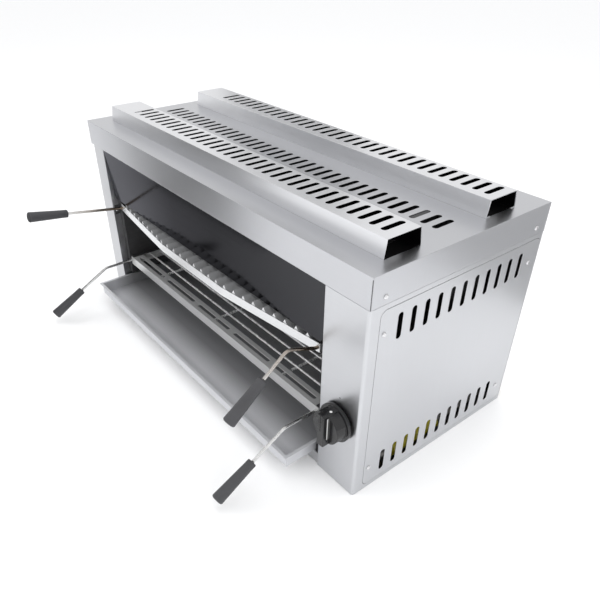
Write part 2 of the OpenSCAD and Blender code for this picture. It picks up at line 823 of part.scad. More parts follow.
module right_frame() {
  color([0.78, 0.79, 0.80])
  difference() {
    union() {
      block([open_r, -ly, 0], [lx - pillar_bend_r, front_out, frame_top]);
      translate([lx - pillar_bend_r, pillar_bend_r - ly, 0])
        intersection() {
          difference() {
            cylinder(h = frame_top, r = pillar_bend_r);
            translate([0, 0, -over])
              cylinder(h = frame_top + 2 * over, r = pillar_bend_r - sheet);
          }
          block([0, -pillar_bend_r, 0], [pillar_bend_r, 0, frame_top]);
        }
      difference() {
        block([right_out, pillar_bend_r - ly, 0], [lx, rear_out, frame_top]);
        panel_form(right_out - over, lx + over, panel_seam);
      }
      block([open_r, front_out, frame_top - lap],
        [lx - 2 * pillar_bend_r, front_in, casing_top]);
      block([right_in, 2 * pillar_bend_r - ly, frame_top - lap], [right_out, rear_in, casing_top]);
      block([right_in, panel_y0 - lap, 0], [right_out, rear_in, frame_top]);
      block([open_r, front_out, sheet], [open_r + sheet, return_y, casing_top]);
      block([right_in - flange_w, rear_in - sheet, rear_flange_z0],
        [right_in, rear_in, casing_top]);
    }
    block([right_in - over, access_y0, panel_z0 + access_rim_z],
      [right_out + over, access_y1, panel_z1 - access_rim_z]);
    hole_y(knob_x, knob_z, -ly - over, front_out + over, spindle_hole_r);
    cover_screw_holes(right_in - over, right_out + over);
    hole_x(tab_y, tab_screw_z, open_r - over, open_r + sheet + over, shank_r + hole_play);
    for (y = side_screw_y, z = side_screw_z) {
      hole_x(y, z, right_in - over, right_out + over, shank_r + hole_play);
    }
    edge_holes(rear_in - sheet - over, rear_in + over);
  }
}

module service_panel() {
  color([0.80, 0.81, 0.83])
  difference() {
    union() panel_form(right_out, lx, 0);
    for (k = [0 : side_vents - 1], z = [side_row_low, side_row_high]) {
      side_slot(side_y0 + k * side_pitch, z, right_out - over, lx + over);
    }
    for (y = side_screw_y, z = side_screw_z) {
      hole_x(y, z, right_out - over, lx + over, shank_r + hole_play);
    }
  }
}

module rear_panel() {
  color([0.76, 0.77, 0.78])
  difference() {
    block([left_out, rear_in, 0], [right_out, rear_out, casing_top]);
    hole_y(inlet_x, inlet_z, rear_in - over, rear_out + over, inlet_r + inlet_play);
    cover_rear_holes(rear_in - over, rear_out + over);
    edge_holes(rear_in - over, rear_out + over);
    for (x = [-wall_hole_x, wall_hole_x], z = [wall_hole_z0, wall_hole_z1]) {
      hole_y(x, z, rear_in - over, rear_out + over, wall_hole_r);
    }
  }
}

module base_pan() {
  color([0.76, 0.77, 0.78])
  difference() {
    union() {
      block([left_in, front_in, 0], [right_in, rear_in, sheet]);
      block([left_in, front_in, sheet], [left_in + sheet, rear_in, pan_edge_h]);
      block([right_in - sheet, front_in, sheet], [right_in, rear_in, pan_edge_h]);
      block([left_in, rear_in - sheet, sheet], [right_in, rear_in, pan_edge_h]);
      block([open_l, front_in, sheet], [open_r, front_in + sheet, pan_lip_h]);
    }
    block([right_out - pillar_bend_r, front_out, -over],
      [right_out, front_out + pillar_bend_r, pan_edge_h + over]);
  }
}

module heat_deflector() {
  foot = front_out + deflector_lean;
  color([0.45, 0.46, 0.49])
    along_x(open_l + deflector_gap, open_r - deflector_gap)
      polygon([[front_out, skirt_z + deflector_tuck], [front_out, skirt_z],
        [foot, deflector_z0], [foot + deflector_hem, deflector_z0],
        [foot + deflector_hem, deflector_z0 + sheet], [foot + sheet, deflector_z0 + sheet],
        [front_in, skirt_z], [front_in, skirt_z + deflector_tuck]]);
}

module side_liner(wall, edge, s) {
  a = min(wall, wall - s * sheet);
  b = max(wall, wall - s * sheet);
  out = wall - s * liner_flange;
  tab = edge + s * sheet;
  difference() {
    union() {
      block([a, liner_front, liner_z0], [b, liner_rear, lid_under]);
      block([min(edge, a), liner_front, liner_z0],
        [max(edge, b), liner_front + sheet, casing_top]);
      block([min(out, a), liner_rear - sheet, liner_z0], [max(out, b), liner_rear, lid_under]);
      block([min(out, a), liner_front + sheet, lid_under - sheet],
        [max(out, b), liner_rear, lid_under]);
      block([min(tab, edge), liner_front - tab_d, tab_screw_z - tab_h / 2],
        [max(tab, edge), liner_front, tab_screw_z + tab_h / 2]);
    }
    hole_x(tab_y, tab_screw_z, min(tab, edge) - over, max(tab, edge) + over,
      shank_r + hole_play);
  }
}

module left_liner() {
  color([0.62, 0.63, 0.65]) side_liner(cav_l, open_l, 1);
}

module right_liner() {
  color([0.62, 0.63, 0.65])
  difference() {
    side_liner(cav_r, open_r, -1);
    for (y = [pilot_y, probe_y]) {
      hole_x(y, probe_z, cav_r - over, cav_r + sheet + over, thin_r + hole_play);
    }
  }
}

module rear_liner() {
  color([0.62, 0.63, 0.65])
  difference() {
    block([cav_l - liner_flange, liner_rear, liner_z0],
      [cav_r + liner_flange, liner_rear + sheet, lid_under]);
    for (x = [burner_l, burner_r]) {
      hole_y(x + burner_w / 2, manifold_z, liner_rear - over, liner_rear + sheet + over,
        mixer_r + rest_gap);
    }
  }
}

module burner_shelf() {
  y0 = liner_front + sheet;
  color([0.60, 0.61, 0.63])
  difference() {
    union() {
      block([cav_l, y0, shelf_z], [cav_r, liner_rear, shelf_z + sheet]);
      block([cav_l, y0, shelf_z - shelf_edge], [cav_l + sheet, liner_rear, shelf_z]);
      block([cav_r - sheet, y0, shelf_z - shelf_edge], [cav_r, liner_rear, shelf_z]);
      block([cav_l, liner_rear - sheet, shelf_z - shelf_edge], [cav_r, liner_rear, shelf_z]);
    }
    for (x = [burner_l, burner_r]) {
      block([x + burner_ledge, burner_front + burner_ledge, shelf_z - over],
        [x + burner_w - burner_ledge, burner_rear - burner_ledge, shelf_z + sheet + over]);
    }
    block([cav_l + flue_side, liner_front + flue_set, shelf_z - over],
      [cav_r - flue_side, liner_front + flue_set + flue_front_d, shelf_z + sheet + over]);
    block([cav_l + flue_side, liner_rear - flue_set - flue_rear_d, shelf_z - over],
      [cav_r - flue_side, liner_rear - flue_set, shelf_z + sheet + over]);
    hole_x(pilot_y, probe_z, cav_r - sheet - over, cav_r + over, pilot_r + rest_gap);
    hole_x(probe_y, probe_z, cav_r - sheet - over, cav_r + over, pilot_r + rest_gap);
  }
}

module casing_screws() {
  color([0.72, 0.72, 0.73]) {
    for (y = cover_screw_y) {
      translate([lx, y, screw_z_cover]) screw(shank_len);
      translate([-lx, y, screw_z_cover]) rotate([0, 0, 180]) screw(shank_len);
    }
    for (y = side_screw_y, z = side_screw_z) {
      translate([lx, y, z]) screw(shank_len);
    }
    for (x = [-rear_screw_x, -rear_screw_in_x, rear_screw_in_x, rear_screw_x]) {
      translate([x, ly, screw_z_cover]) rotate([0, 0, 90]) screw(shank_len);
    }
    for (x = [left_in + flange_w / 2, right_in - flange_w / 2], z = edge_screw_z) {
      translate([x, rear_out, z]) rotate([0, 0, 90]) screw(shank_len);
    }
    translate([open_l + sheet, tab_y, tab_screw_z]) screw(shank_len);
    translate([open_r - sheet, tab_y, tab_screw_z]) rotate([0, 0, 180]) screw(shank_len);
  }
}

module pipe_shield() {
  x0 = cav_r + sheet;
  x1 = x0 + shield_out;
  color([0.50, 0.51, 0.53])
    along_y(shield_y0, shield_y1)
      polygon([[x0, shield_z1 - shield_flange], [x0, shield_z1], [x1, shield_z1],
        [x1, shield_z0], [x1 - sheet, shield_z0], [x1 - sheet, shield_z1 - sheet],
        [x0 + sheet, shield_z1 - sheet], [x0 + sheet, shield_z1 - shield_flange]]);
}

module runner(wall, s, z, y0) {
  x0 = min(wall, wall + s * run_leg);
  x1 = max(wall, wall + s * run_leg);
  web0 = min(wall, wall + s * run_t);
  web1 = max(wall, wall + s * run_t);
  block([web0, y0, z], [web1, liner_rear, z + run_h]);
  for (h = [z - run_t, z + run_h]) {
    block([x0, y0, h], [x1, liner_rear, h + run_t]);
  }
}

module upper_runner_left() {
  color([0.66, 0.67, 0.69]) runner(cav_l, 1, run_high_z, bar_front + 2 * lip_t);
}

module upper_runner_right() {
  color([0.66, 0.67, 0.69]) runner(cav_r, -1, run_high_z, bar_front + 2 * lip_t);
}

module lower_runner_left() {
  color([0.66, 0.67, 0.69]) runner(cav_l, 1, run_low_z, rack_front + lip_t + rest_gap);
}

module lower_runner_right() {
  color([0.66, 0.67, 0.69]) runner(cav_r, -1, run_low_z, rack_front + lip_t + rest_gap);
}

module tray_runner(guide, edge, s) {
  y0 = front_in + sheet;
  out = guide - s * ledge_t;
  in = guide + s * (ledge_w - ledge_t);
  block([min(out, guide), y0, sheet], [max(out, guide), ledge_rear, guide_h]);
  block([min(edge, out), y0, sheet], [max(edge, out), ledge_rear, sheet + ledge_t]);
  block([min(in, guide), y0, tray_ledge - ledge_t], [max(in, guide), ledge_rear, tray_ledge]);
}

module tray_runner_left() {
  color([0.66, 0.67, 0.69]) tray_runner(guide_l, open_l, 1);
}

module tray_runner_right() {
  color([0.66, 0.67, 0.69]) tray_runner(guide_r, open_r, -1);
}

function bow_line(y) = [[shelf_l, y], [cav_x - lip_flat / 2, y - lip_bow],
  [cav_x + lip_flat / 2, y - lip_bow], [shelf_r, y]];

module bow_strip(y, d, z0, z1) {
  far = bow_line(y + d);
  translate([0, 0, z0])
    linear_extrude(height = z1 - z0)
      polygon(concat(bow_line(y), [for (k = [3 : -1 : 0]) far[k]]));
}

module shelf_rails(z, y0) {
  for (s = [-1, 1]) {
    edge = cav_x + s * shelf_w / 2;
    leg = edge - s * rail_t;
    foot = edge - s * rail_foot;
    block([min(edge, leg), y0, z], [max(edge, leg), shelf_rear, z + rail_h]);
    block([min(leg, foot), y0, z], [max(leg, foot), shelf_rear, z + rail_t]);
  }
  block([shelf_l + rail_t, shelf_rear - rail_t, z], [shelf_r - rail_t, shelf_rear, z + rail_h]);
  block([shelf_l + rail_foot, shelf_rear - rail_foot, z],
    [shelf_r - rail_foot, shelf_rear - rail_t, z + rail_t]);
}

module brander_frame() {
  back = bar_front + 2 * lip_t;
  color([0.82, 0.83, 0.84])
  difference() {
    union() {
      bow_strip(bar_front, lip_t, rail_high_z, rail_high_z + lip_h);
      intersection() {
        bow_strip(bar_front, lip_foot, rail_high_z, rail_high_z + rail_t);
        block([shelf_l, bar_front - lip_bow, rail_high_z], [shelf_r, back, rail_high_z + rail_t]);
      }
      shelf_rails(rail_high_z, bar_front + lip_t / 2);
    }
    for (x = [rod_x_l, rod_x_r]) {
      hole_y(x, rod_high_z, bar_front - lip_bow, back, rod_r + rod_play);
    }
  }
}

module brander_plate() {
  x0 = cav_x - ridges * ridge_pitch / 2;
  flat_l = shelf_l + rail_t + rest_gap;
  flat_r = shelf_r - rail_t - rest_gap;
  low = [for (k = [0 : 2 * ridges]) [x0 + k * ridge_pitch / 2, plate_z + (k % 2) * ridge_h]];
  high = [for (k = [2 * ridges : -1 : 0]) low[k] + [0, ridge_t]];
  y0 = bar_front + lip_t + rest_gap;
  y1 = shelf_rear - rail_t - rest_gap;
  z1 = plate_z + ridge_h + ridge_t;
  color([0.70, 0.71, 0.73]) {
    intersection() {
      along_y(y0 - lip_bow, y1)
        polygon(concat([[flat_l, plate_z]], low, [[flat_r, plate_z], [flat_r, plate_z + ridge_t]],
          high, [[flat_l, plate_z + ridge_t]]));
      translate([0, 0, plate_z])
        linear_extrude(height = z1 - plate_z)
          polygon(concat(bow_line(y0), [[shelf_r, y1], [shelf_l, y1]]));
    }
    intersection() {
      along_y(y0 - lip_bow, y0 + ridge_t)
        polygon(concat([[flat_r, plate_z], [flat_r, plate_z + ridge_t]], high,
          [[flat_l, plate_z + ridge_t], [flat_l, plate_z]]));
      bow_strip(y0, ridge_t, plate_z, z1);
    }
  }
}

function step_point(p, reach, rise) = p + [0, -reach * cos(rise), reach * sin(rise)];

high_lead_l = [rod_x_l, bar_front - rod_lead, rod_high_z];
high_lead_r = [rod_x_r, bar_front - rod_lead, rod_high_z];
high_bend = step_point(high_lead_r, high_stub, high_rise_angle);
high_bend_in = step_point(high_lead_r, high_stub - bend_cut, high_rise_angle);
high_bend_out = step_point(high_bend, bend_cut, -high_drop_angle);
high_neck_l = step_point(high_lead_l, straight_len, straight_rise_angle);
high_neck_r = step_point(high_bend, high_drop_len, -high_drop_angle);
high_end_l = step_point(high_neck_l, grip_depth, straight_rise_angle);
high_end_r = step_point(high_neck_r, grip_depth, -high_drop_angle);
low_bend_l = [rod_x_l, rack_front - low_stub, rod_low_z];
low_bend_r = [rod_x_r, rack_front - low_stub, rod_low_z];

module rod(points) {
  last = len(points) - 2;
  for (k = [0 : last]) {
    p = points[k];
    q = points[k + 1];
    cut = rod_cut_share * rod_r * (q - p) / norm(q - p);
    bar(k > 0 ? p + cut : p, k < last ? q - cut : q, rod_r, $fn = fine_fn);
  }
  for (k = [1 : last]) {
    translate(points[k]) sphere(r = rod_swell_share * rod_r, $fn = fine_fn);
  }
}

module upper_rod(x, points) {
  start = [x, bar_front + rod_back, rod_high_z];
  lead = [x, bar_front - rod_lead, rod_high_z];
  rod(concat([start, lead], points));
}

module upper_rod_left() {
  color([0.72, 0.70, 0.66]) upper_rod(rod_x_l, [high_end_l]);
}

module upper_rod_right() {
  color([0.72, 0.70, 0.66]) upper_rod(rod_x_r, [high_bend_in, high_bend_out, high_end_r]);
}

module grip(neck, rise) {
  translate(neck)
    rotate([90 - rise, 0, 0])
      difference() {
        union() {
          cylinder(h = grip_len - grip_end, r1 = grip_r0, r2 = grip_r1);
          translate([0, 0, grip_len - grip_end])
            cylinder(h = grip_end, r1 = grip_r1, r2 = grip_r1 - grip_end);
        }
        translate([0, 0, -over])
          cylinder(h = grip_depth + 2 * over, r = rod_r + rod_play, $fn = fine_fn);
      }
}

module upper_grip_left() {
  color([0.22, 0.22, 0.24]) grip(high_neck_l, straight_rise_angle);
}

module upper_grip_right() {
  color([0.22, 0.22, 0.24]) grip(high_neck_r, -high_drop_angle);
}

module lower_rod(bend) {
  start = [bend[0], rack_front + rod_back, rod_low_z];
  end = step_point(bend, low_drop_len + grip_depth, -low_drop_angle);
  rod([start, bend, end]);
}

module lower_rod_left() {
  color([0.75, 0.75, 0.76]) lower_rod(low_bend_l);
}

module lower_rod_right() {
  color([0.75, 0.75, 0.76]) lower_rod(low_bend_r);
}

module lower_grip_left() {
  color([0.22, 0.22, 0.24]) grip(step_point(low_bend_l, low_drop_len, -low_drop_angle), -low_drop_angle);
}

module lower_grip_right() {
  color([0.22, 0.22, 0.24]) grip(step_point(low_bend_r, low_drop_len, -low_drop_angle), -low_drop_angle);
}

module toasting_rack() {
  top_l = cav_l + run_leg + runner_gap;
  top_r = cav_r - run_leg - runner_gap;
  color([0.80, 0.81, 0.82])
  difference() {
    union() {
      block([shelf_l, rack_front, rack_z0], [shelf_r, rack_front + lip_t, rack_z1]);
      block([top_l, rack_front + lip_t, rack_z1 - lip_t],
        [top_r, rack_front + rack_bar_d, rack_z1]);
      shelf_rails(rail_low_z, rack_front + lip_t);
    }
    for (k = [0 : bar_slots - 1]) {
      slot_x(cav_x + (k - (bar_slots - 1) / 2) * bar_slot_pitch, rack_front + rack_bar_d / 2,
        rack_z1 - lip_t - over, rack_z1 + over, bar_slot_len, bar_slot_w);
    }
    for (x = [rod_x_l, rod_x_r]) {
      hole_y(x, rod_low_z, rack_front - over, rack_front + lip_t + over, rod_r + rod_play);
    }
  }
}

module rack_wires() {
  color([0.74, 0.75, 0.76])
    for (k = [0 : wires - 1]) {
      y = rack_front + wire_y0 + k * wire_pitch;
      bar([shelf_l + rail_t, y, wire_z], [shelf_r - rail_t, y, wire_z], wire_r, $fn = small_fn);
    }
}

module rack_supports() {
  color([0.74, 0.75, 0.76])
    for (x = [cav_x - under_x, cav_x, cav_x + under_x]) {
      bar([x, rack_front + lip_t, under_z], [x, shelf_rear - rail_t, under_z], under_r,
        $fn = small_fn);
    }
}

module drip_tray() {
  y1 = tray_front + tray_len;
  z1 = tray_z0 + tray_h;
  color([0.74, 0.75, 0.77])
  difference() {
    union() {
      block([tray_l + tray_rim, tray_front + tray_rim, tray_z0],
        [tray_r - tray_rim, y1 - tray_rim, z1]);
      block([tray_l, tray_front, z1 - tray_t], [tray_r, y1, z1]);
    }
    block([tray_l + tray_rim + tray_t, tray_front + tray_rim + tray_t, tray_z0 + tray_t],
      [tray_r - tray_rim - tray_t, y1 - tray_rim - tray_t, z1 + over]);
  }
}

module burner(x) {
  mid = x + burner_w / 2;
  difference() {
    union() {
      block([x, burner_front, burner_z], [x + burner_w, burner_rear, burner_z + burner_h]);
      hole_y(mid, manifold_z, burner_rear - burner_t, liner_rear + sheet + mixer_out, mixer_r);
    }
    block([x + burner_t, burner_front + burner_t, burner_z - over],
      [x + burner_w - burner_t, burner_rear - burner_t, burner_z + burner_h - burner_t]);
    hole_y(mid, manifold_z, burner_rear - burner_t - over, liner_rear + sheet + mixer_out + over,
      mixer_r - burner_t);
  }
}

module burner_left() {
  color([0.58, 0.58, 0.60]) burner(burner_l);
}

module burner_right() {
  color([0.58, 0.58, 0.60]) burner(burner_r);
}

module plaque(x) {
  x0 = x + burner_t;
  x1 = x + burner_w - burner_t;
  tile = (x1 - x0) / plaque_tiles;
  difference() {
    block([x0, burner_front + burner_t, burner_z],
      [x1, burner_rear - burner_t, burner_z + plaque_t]);
    for (k = [1 : plaque_tiles - 1]) {
      block([x0 + k * tile - tile_joint / 2, burner_front, burner_z - over],
        [x0 + k * tile + tile_joint / 2, burner_rear, burner_z + tile_joint]);
    }
  }
}

module plaque_left() {
  color([0.90, 0.86, 0.78]) plaque(burner_l);
}

module plaque_right() {
  color([0.90, 0.86, 0.78]) plaque(burner_r);
}

module guard(x) {
  step = (burner_w - 2 * burner_ledge) / (guard_bars + 1);
  z = shelf_z - guard_r;
  for (k = [1 : guard_bars]) {
    bar([x + burner_ledge + k * step, burner_front, z],
      [x + burner_ledge + k * step, burner_rear, z], guard_r, $fn = small_fn);
  }
  for (share = [1 / 4, 3 / 4]) {
    y = burner_front + share * burner_d;
    bar([x + burner_ledge, y, z - guard_r], [x + burner_w - burner_ledge, y, z - guard_r],
      guard_r, $fn = small_fn);
  }
}

module guard_left() {
  color([0.55, 0.55, 0.57]) guard(burner_l);
}

module guard_right() {
  color([0.55, 0.55, 0.57]) guard(burner_r);
}

module manifold() {
  color([0.70, 0.68, 0.62]) {
    bar([manifold_x0, manifold_y, manifold_z], [manifold_x1, manifold_y, manifold_z], manifold_r);
    for (x = [burner_l, burner_r]) {
      hole_y(x + burner_w / 2, manifold_z, manifold_y - boss_len, manifold_y, boss_r);
    }
  }
}

module manifold_clips() {
  color([0.60, 0.61, 0.63])
    for (x = [cav_x - clip_x, cav_r - clip_x]) {
      difference() {
        block([x - clip_w / 2, liner_rear + sheet, manifold_z - manifold_r - clip_wall],
            [x + clip_w / 2, manifold_y + manifold_r + clip_wall,
            manifold_z + manifold_r + clip_wall]);
        hole_x(manifold_y, manifold_z, x - clip_w, x + clip_w, manifold_r + turn_play);
      }
    }
}

module injectors() {
  color([0.78, 0.62, 0.30])
    for (x = [burner_l + burner_w / 2, burner_r + burner_w / 2]) {
      difference() {
        hole_y(x, manifold_z, manifold_y - boss_len - injector_len, manifold_y - boss_len,
          injector_r);
        hole_y(x, manifold_z, manifold_y - boss_len - injector_len - over,
          manifold_y - boss_len + over, orifice_r);
      }
    }
}

module feed_pipe() {
  z0 = knob_z + valve_half + port_h;
  color([0.76, 0.50, 0.34])
    run([[knob_x, valve_y, z0], [knob_x, valve_y, manifold_z], [knob_x, manifold_y, manifold_z],
      [manifold_x1, manifold_y, manifold_z]], feed_r, feed_r, $fn = fine_fn);
}

module gas_valve() {
  color([0.68, 0.60, 0.42])
  difference() {
    union() {
      block([knob_x - valve_flange_x, front_out, knob_z - valve_flange_z],
        [knob_x + valve_flange_x, front_out + valve_flange_t, knob_z + valve_flange_z]);
      hole_y(knob_x, knob_z, front_out, valve_y0, nose_r);
      block([knob_x - valve_half, valve_y0, knob_z - valve_half],
        [knob_x + valve_half, valve_y1, knob_z + valve_half]);
      translate([knob_x, valve_y, knob_z - valve_half - port_h])
        cylinder(h = 2 * (valve_half + port_h), r = port_r);
      hole_y(knob_x, knob_z, valve_y1, valve_y1 + port_h, pilot_r);
      translate([knob_x - valve_half - port_h, pilot_y, knob_z])
        rotate([0, 90, 0]) cylinder(h = port_h, r = pilot_r);
    }
    hole_y(knob_x, knob_z, front_out - over, collar_end + push_room, spindle_r + turn_play);
    hole_y(knob_x, knob_z, collar_end, plunger_front + plunger_len + push_room,
      plunger_r + turn_play);
  }
}

module valve_plunger() {
  color([0.80, 0.80, 0.81]) {
    hole_y(knob_x, knob_z, plunger_front, collar_end, collar_r);
    hole_y(knob_x, knob_z, plunger_front, plunger_front + plunger_len, plunger_r);
  }
}

module valve_spindle() {
  front = spindle_rear - spindle_len;
  color([0.80, 0.74, 0.55])
  difference() {
    hole_y(knob_x, knob_z, front, spindle_rear, spindle_r);
    block([knob_x + spindle_r - spindle_flat, front - over, knob_z - spindle_r - over],
      [knob_x + spindle_r + over, front + flat_len, knob_z + spindle_r + over]);
  }
}

module knob() {
  barrel = knob_back - knob_skirt_h;
  bar_back = barrel - knob_barrel_h;
  front = spindle_rear - spindle_len;
  color([0.06, 0.06, 0.07])
  difference() {
    union() {
      hole_y(knob_x, knob_z, barrel, knob_back, knob_skirt_r);
      hole_y(knob_x, knob_z, bar_back, barrel, knob_barrel_r);
      intersection() {
        block([knob_x - knob_bar_w / 2, knob_face, knob_z - knob_skirt_r],
          [knob_x + knob_bar_w / 2, barrel, knob_z + knob_skirt_r]);
        hole_y(knob_x, knob_z, knob_face, barrel, (knob_skirt_r + knob_barrel_r) / 2);
      }
    }
    difference() {
      hole_y(knob_x, knob_z, front - rest_gap, knob_back + over, spindle_r + turn_play);
      block([knob_x + spindle_r - spindle_flat + turn_play, front - over,
          knob_z - spindle_r - over],
        [knob_x + spindle_r + over, front + flat_len - rest_gap, knob_z + spindle_r + over]);
    }
    block([knob_x - mark_w / 2, knob_face - over, knob_z],
      [knob_x + mark_w / 2, knob_face + mark_d, knob_z + knob_skirt_r]);
  }
}

module inlet_pipe() {
  color([0.72, 0.70, 0.64])
    run([[inlet_x, rear_in - nut_t, inlet_z], [inlet_x, valve_y, inlet_z],
      [knob_x, valve_y, inlet_z], [knob_x, valve_y, knob_z - valve_half - port_h]], pipe_r,
      pipe_r);
}

module pipe_sleeve() {
  color([0.80, 0.72, 0.20])
  difference() {
    hole_y(inlet_x, inlet_z, sleeve_y0, sleeve_y1, sleeve_r);
    hole_y(inlet_x, inlet_z, sleeve_y0 - over, sleeve_y1 + over, pipe_r + turn_play);
  }
}

module hex_nut(y0) {
  translate([inlet_x, y0 + nut_t, inlet_z])
    rotate([90, 0, 0])
      linear_extrude(height = nut_t)
        intersection_for(k = [0 : 2]) {
          rotate(k * 60) square([4 * nut_half, 2 * nut_half], center = true);
        }
}

module inlet_fitting() {
  color([0.80, 0.68, 0.36])
  difference() {
    union() {
      hole_y(inlet_x, inlet_z, rear_in, rear_out + inlet_out, inlet_r);
      hex_nut(rear_in - nut_t);
      hex_nut(rear_out);
    }
    hole_y(inlet_x, inlet_z, rear_in - nut_t - over, rear_out + inlet_out + over, inlet_bore_r);
  }
}

module pilot_burner() {
  x1 = cav_r - sheet - rest_gap;
  x0 = x1 - pilot_len;
  far = knob_x - valve_half - port_h;
  color([0.66, 0.66, 0.68]) {
    bar([x0, pilot_y, probe_z], [x1, pilot_y, probe_z], pilot_r, $fn = fine_fn);
    translate([x0, pilot_y, probe_z - pilot_r])
      cylinder(h = 2 * pilot_r, r = pilot_r, $fn = fine_fn);
    run([[x1, pilot_y, probe_z], [far - port_h, pilot_y, probe_z],
      [far - port_h, pilot_y, knob_z], [far, pilot_y, knob_z]], thin_r, thin_r + hole_play, $fn = small_fn);
  }
}

module thermocouple() {
  x1 = cav_r - sheet - rest_gap;
  x0 = x1 - pilot_len;
  far = knob_x - valve_half;
  y1 = valve_y1 + 2 * port_h;
  color([0.74, 0.52, 0.38]) {
    bar([x0, probe_y, probe_z], [x1, probe_y, probe_z], pilot_r / 2, $fn = fine_fn);
    run([[x1, probe_y, probe_z], [far - port_h / 2, probe_y, probe_z],
      [far - port_h / 2, y1, probe_z - port_h], [far - port_h / 2, y1, knob_z],
      [knob_x, y1, knob_z], [knob_x, valve_y1 + port_h, knob_z]], thin_r, thin_r + hole_play, $fn = small_fn);
  }
}

top_cover();
front_duct();
rear_duct();
left_casing();
right_frame();
service_panel();
rear_panel();
base_pan();
heat_deflector();
left_liner();
right_liner();
rear_liner();
burner_shelf();
casing_screws();
pipe_shield();
upper_runner_left();
upper_runner_right();
lower_runner_left();
lower_runner_right();
tray_runner_left();
tray_runner_right();
brander_frame();
brander_plate();
upper_rod_left();
upper_rod_right();
upper_grip_left();
upper_grip_right();
toasting_rack();
rack_wires();
rack_supports();
lower_rod_left();
lower_rod_right();
lower_grip_left();
lower_grip_right();
drip_tray();
burner_left();
burner_right();
plaque_left();
plaque_right();
guard_left();
guard_right();
manifold();
manifold_clips();
injectors();
feed_pipe();
gas_valve();
valve_plunger();
valve_spindle();
knob();
inlet_pipe();
pipe_sleeve();
inlet_fitting();
pilot_burner();
thermocouple();
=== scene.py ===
import math

import bmesh
import bpy
from mathutils import Matrix, Vector


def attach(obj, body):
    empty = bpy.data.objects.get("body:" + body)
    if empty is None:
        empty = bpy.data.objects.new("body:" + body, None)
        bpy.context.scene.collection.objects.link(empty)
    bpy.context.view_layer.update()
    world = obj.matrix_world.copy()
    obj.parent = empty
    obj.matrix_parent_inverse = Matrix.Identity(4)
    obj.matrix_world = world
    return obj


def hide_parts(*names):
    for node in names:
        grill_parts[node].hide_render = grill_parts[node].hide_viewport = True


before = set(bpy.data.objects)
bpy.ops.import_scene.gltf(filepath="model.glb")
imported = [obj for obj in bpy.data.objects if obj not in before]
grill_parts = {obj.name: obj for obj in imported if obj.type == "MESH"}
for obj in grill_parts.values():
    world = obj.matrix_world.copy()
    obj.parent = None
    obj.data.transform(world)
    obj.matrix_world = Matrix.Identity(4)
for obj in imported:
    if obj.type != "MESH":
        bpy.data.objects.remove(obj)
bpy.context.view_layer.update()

# Viewpoint
# The photograph looks down on the grill from the front right, at about eye height
# for a unit that stands on a bench. The lens shift frames it as the photograph does.
viewpoint = Vector((0.9018, -0.7016, 0.7967))
turn_round, look_down, tilt = math.radians(50.995), math.radians(35.595), math.radians(0.564)
lens_data = bpy.data.cameras.new("viewpoint")
lens_data.lens, lens_data.sensor_width = 35.67, 36.0
lens_data.shift_x, lens_data.shift_y = 0.0119, 0.0674
lens_data.clip_start, lens_data.clip_end = 0.02, 200.0
viewer = bpy.data.objects.new("viewpoint", lens_data)
viewer.matrix_world = (
    Matrix.Translation(viewpoint)
    @ Matrix.Rotation(turn_round, 4, "Z")
    @ Matrix.Rotation(math.pi / 2 - look_down, 4, "X")
    @ Matrix.Rotation(tilt, 4, "Z")
)
bpy.context.collection.objects.link(viewer)
bpy.context.scene.camera = viewer
bpy.context.scene.view_settings.view_transform = "Standard"

# Bench top
# A plain white bench that runs on past the view, with a dull finish. It keeps the
# soft shadow of the grill and is what the lower sheets of steel mirror.
bench_half, bench_under = 30.0, 0.0005
bench_mesh = bpy.data.meshes.new("bench_top")
bench_mesh.from_pydata(
    [(side * bench_half, end * bench_half, 0) for side, end in ((-1, -1), (1, -1), (1, 1), (-1, 1))],
    [], [(0, 1, 2, 3)],
)
bench = bpy.data.objects.new("bench_top", bench_mesh)
bpy.context.collection.objects.link(bench)
bench.location.z = -bench_under
bench_paint = bpy.data.materials.new("bench_white")
bench_paint.use_nodes = True
bench_shader = bench_paint.node_tree.nodes["Principled BSDF"]
bench_shader.inputs["Base Color"].default_value = (0.975, 0.975, 0.975, 1)
bench_shader.inputs["Roughness"].default_value = 0.9
bench_shader.inputs["Specular IOR Level"].default_value = 0.1
bench_mesh.materials.append(bench_paint)

# Room and lamps
# A white room with one wide soft lamp over the bench, one from the front left and
# a weaker one from the right. Three grey screens round the grill are seen only in
# its bright sheet, where they give the soft darker bands of the photograph.
room = bpy.data.worlds.new("white_room")
bpy.context.scene.world = room
room.use_nodes = True
room_nodes, room_links = room.node_tree.nodes, room.node_tree.links
room_nodes.clear()
room_out = room_nodes.new("ShaderNodeOutputWorld")
room_mix = room_nodes.new("ShaderNodeMixShader")
room_seen = room_nodes.new("ShaderNodeBackground")
room_seen.inputs["Color"].default_value = (1, 1, 1, 1)
room_lit = room_nodes.new("ShaderNodeBackground")
room_lit.inputs["Color"].default_value = (0.985, 0.99, 1.0, 1)
room_lit.inputs["Strength"].default_value = 1.0
room_ray = room_nodes.new("ShaderNodeLightPath")
seen_or_mirrored = room_nodes.new("ShaderNodeMath")
seen_or_mirrored.operation = "MAXIMUM"
seen_any_way = room_nodes.new("ShaderNodeMath")
seen_any_way.operation = "MAXIMUM"
room_links.new(room_ray.outputs["Is Camera Ray"], seen_or_mirrored.inputs[0])
room_links.new(room_ray.outputs["Is Glossy Ray"], seen_or_mirrored.inputs[1])
room_links.new(seen_or_mirrored.outputs[0], seen_any_way.inputs[0])
room_links.new(room_ray.outputs["Is Transmission Ray"], seen_any_way.inputs[1])
room_links.new(seen_any_way.outputs[0], room_mix.inputs[0])
room_links.new(room_lit.outputs[0], room_mix.inputs[1])
room_links.new(room_seen.outputs[0], room_mix.inputs[2])
room_links.new(room_mix.outputs[0], room_out.inputs[0])


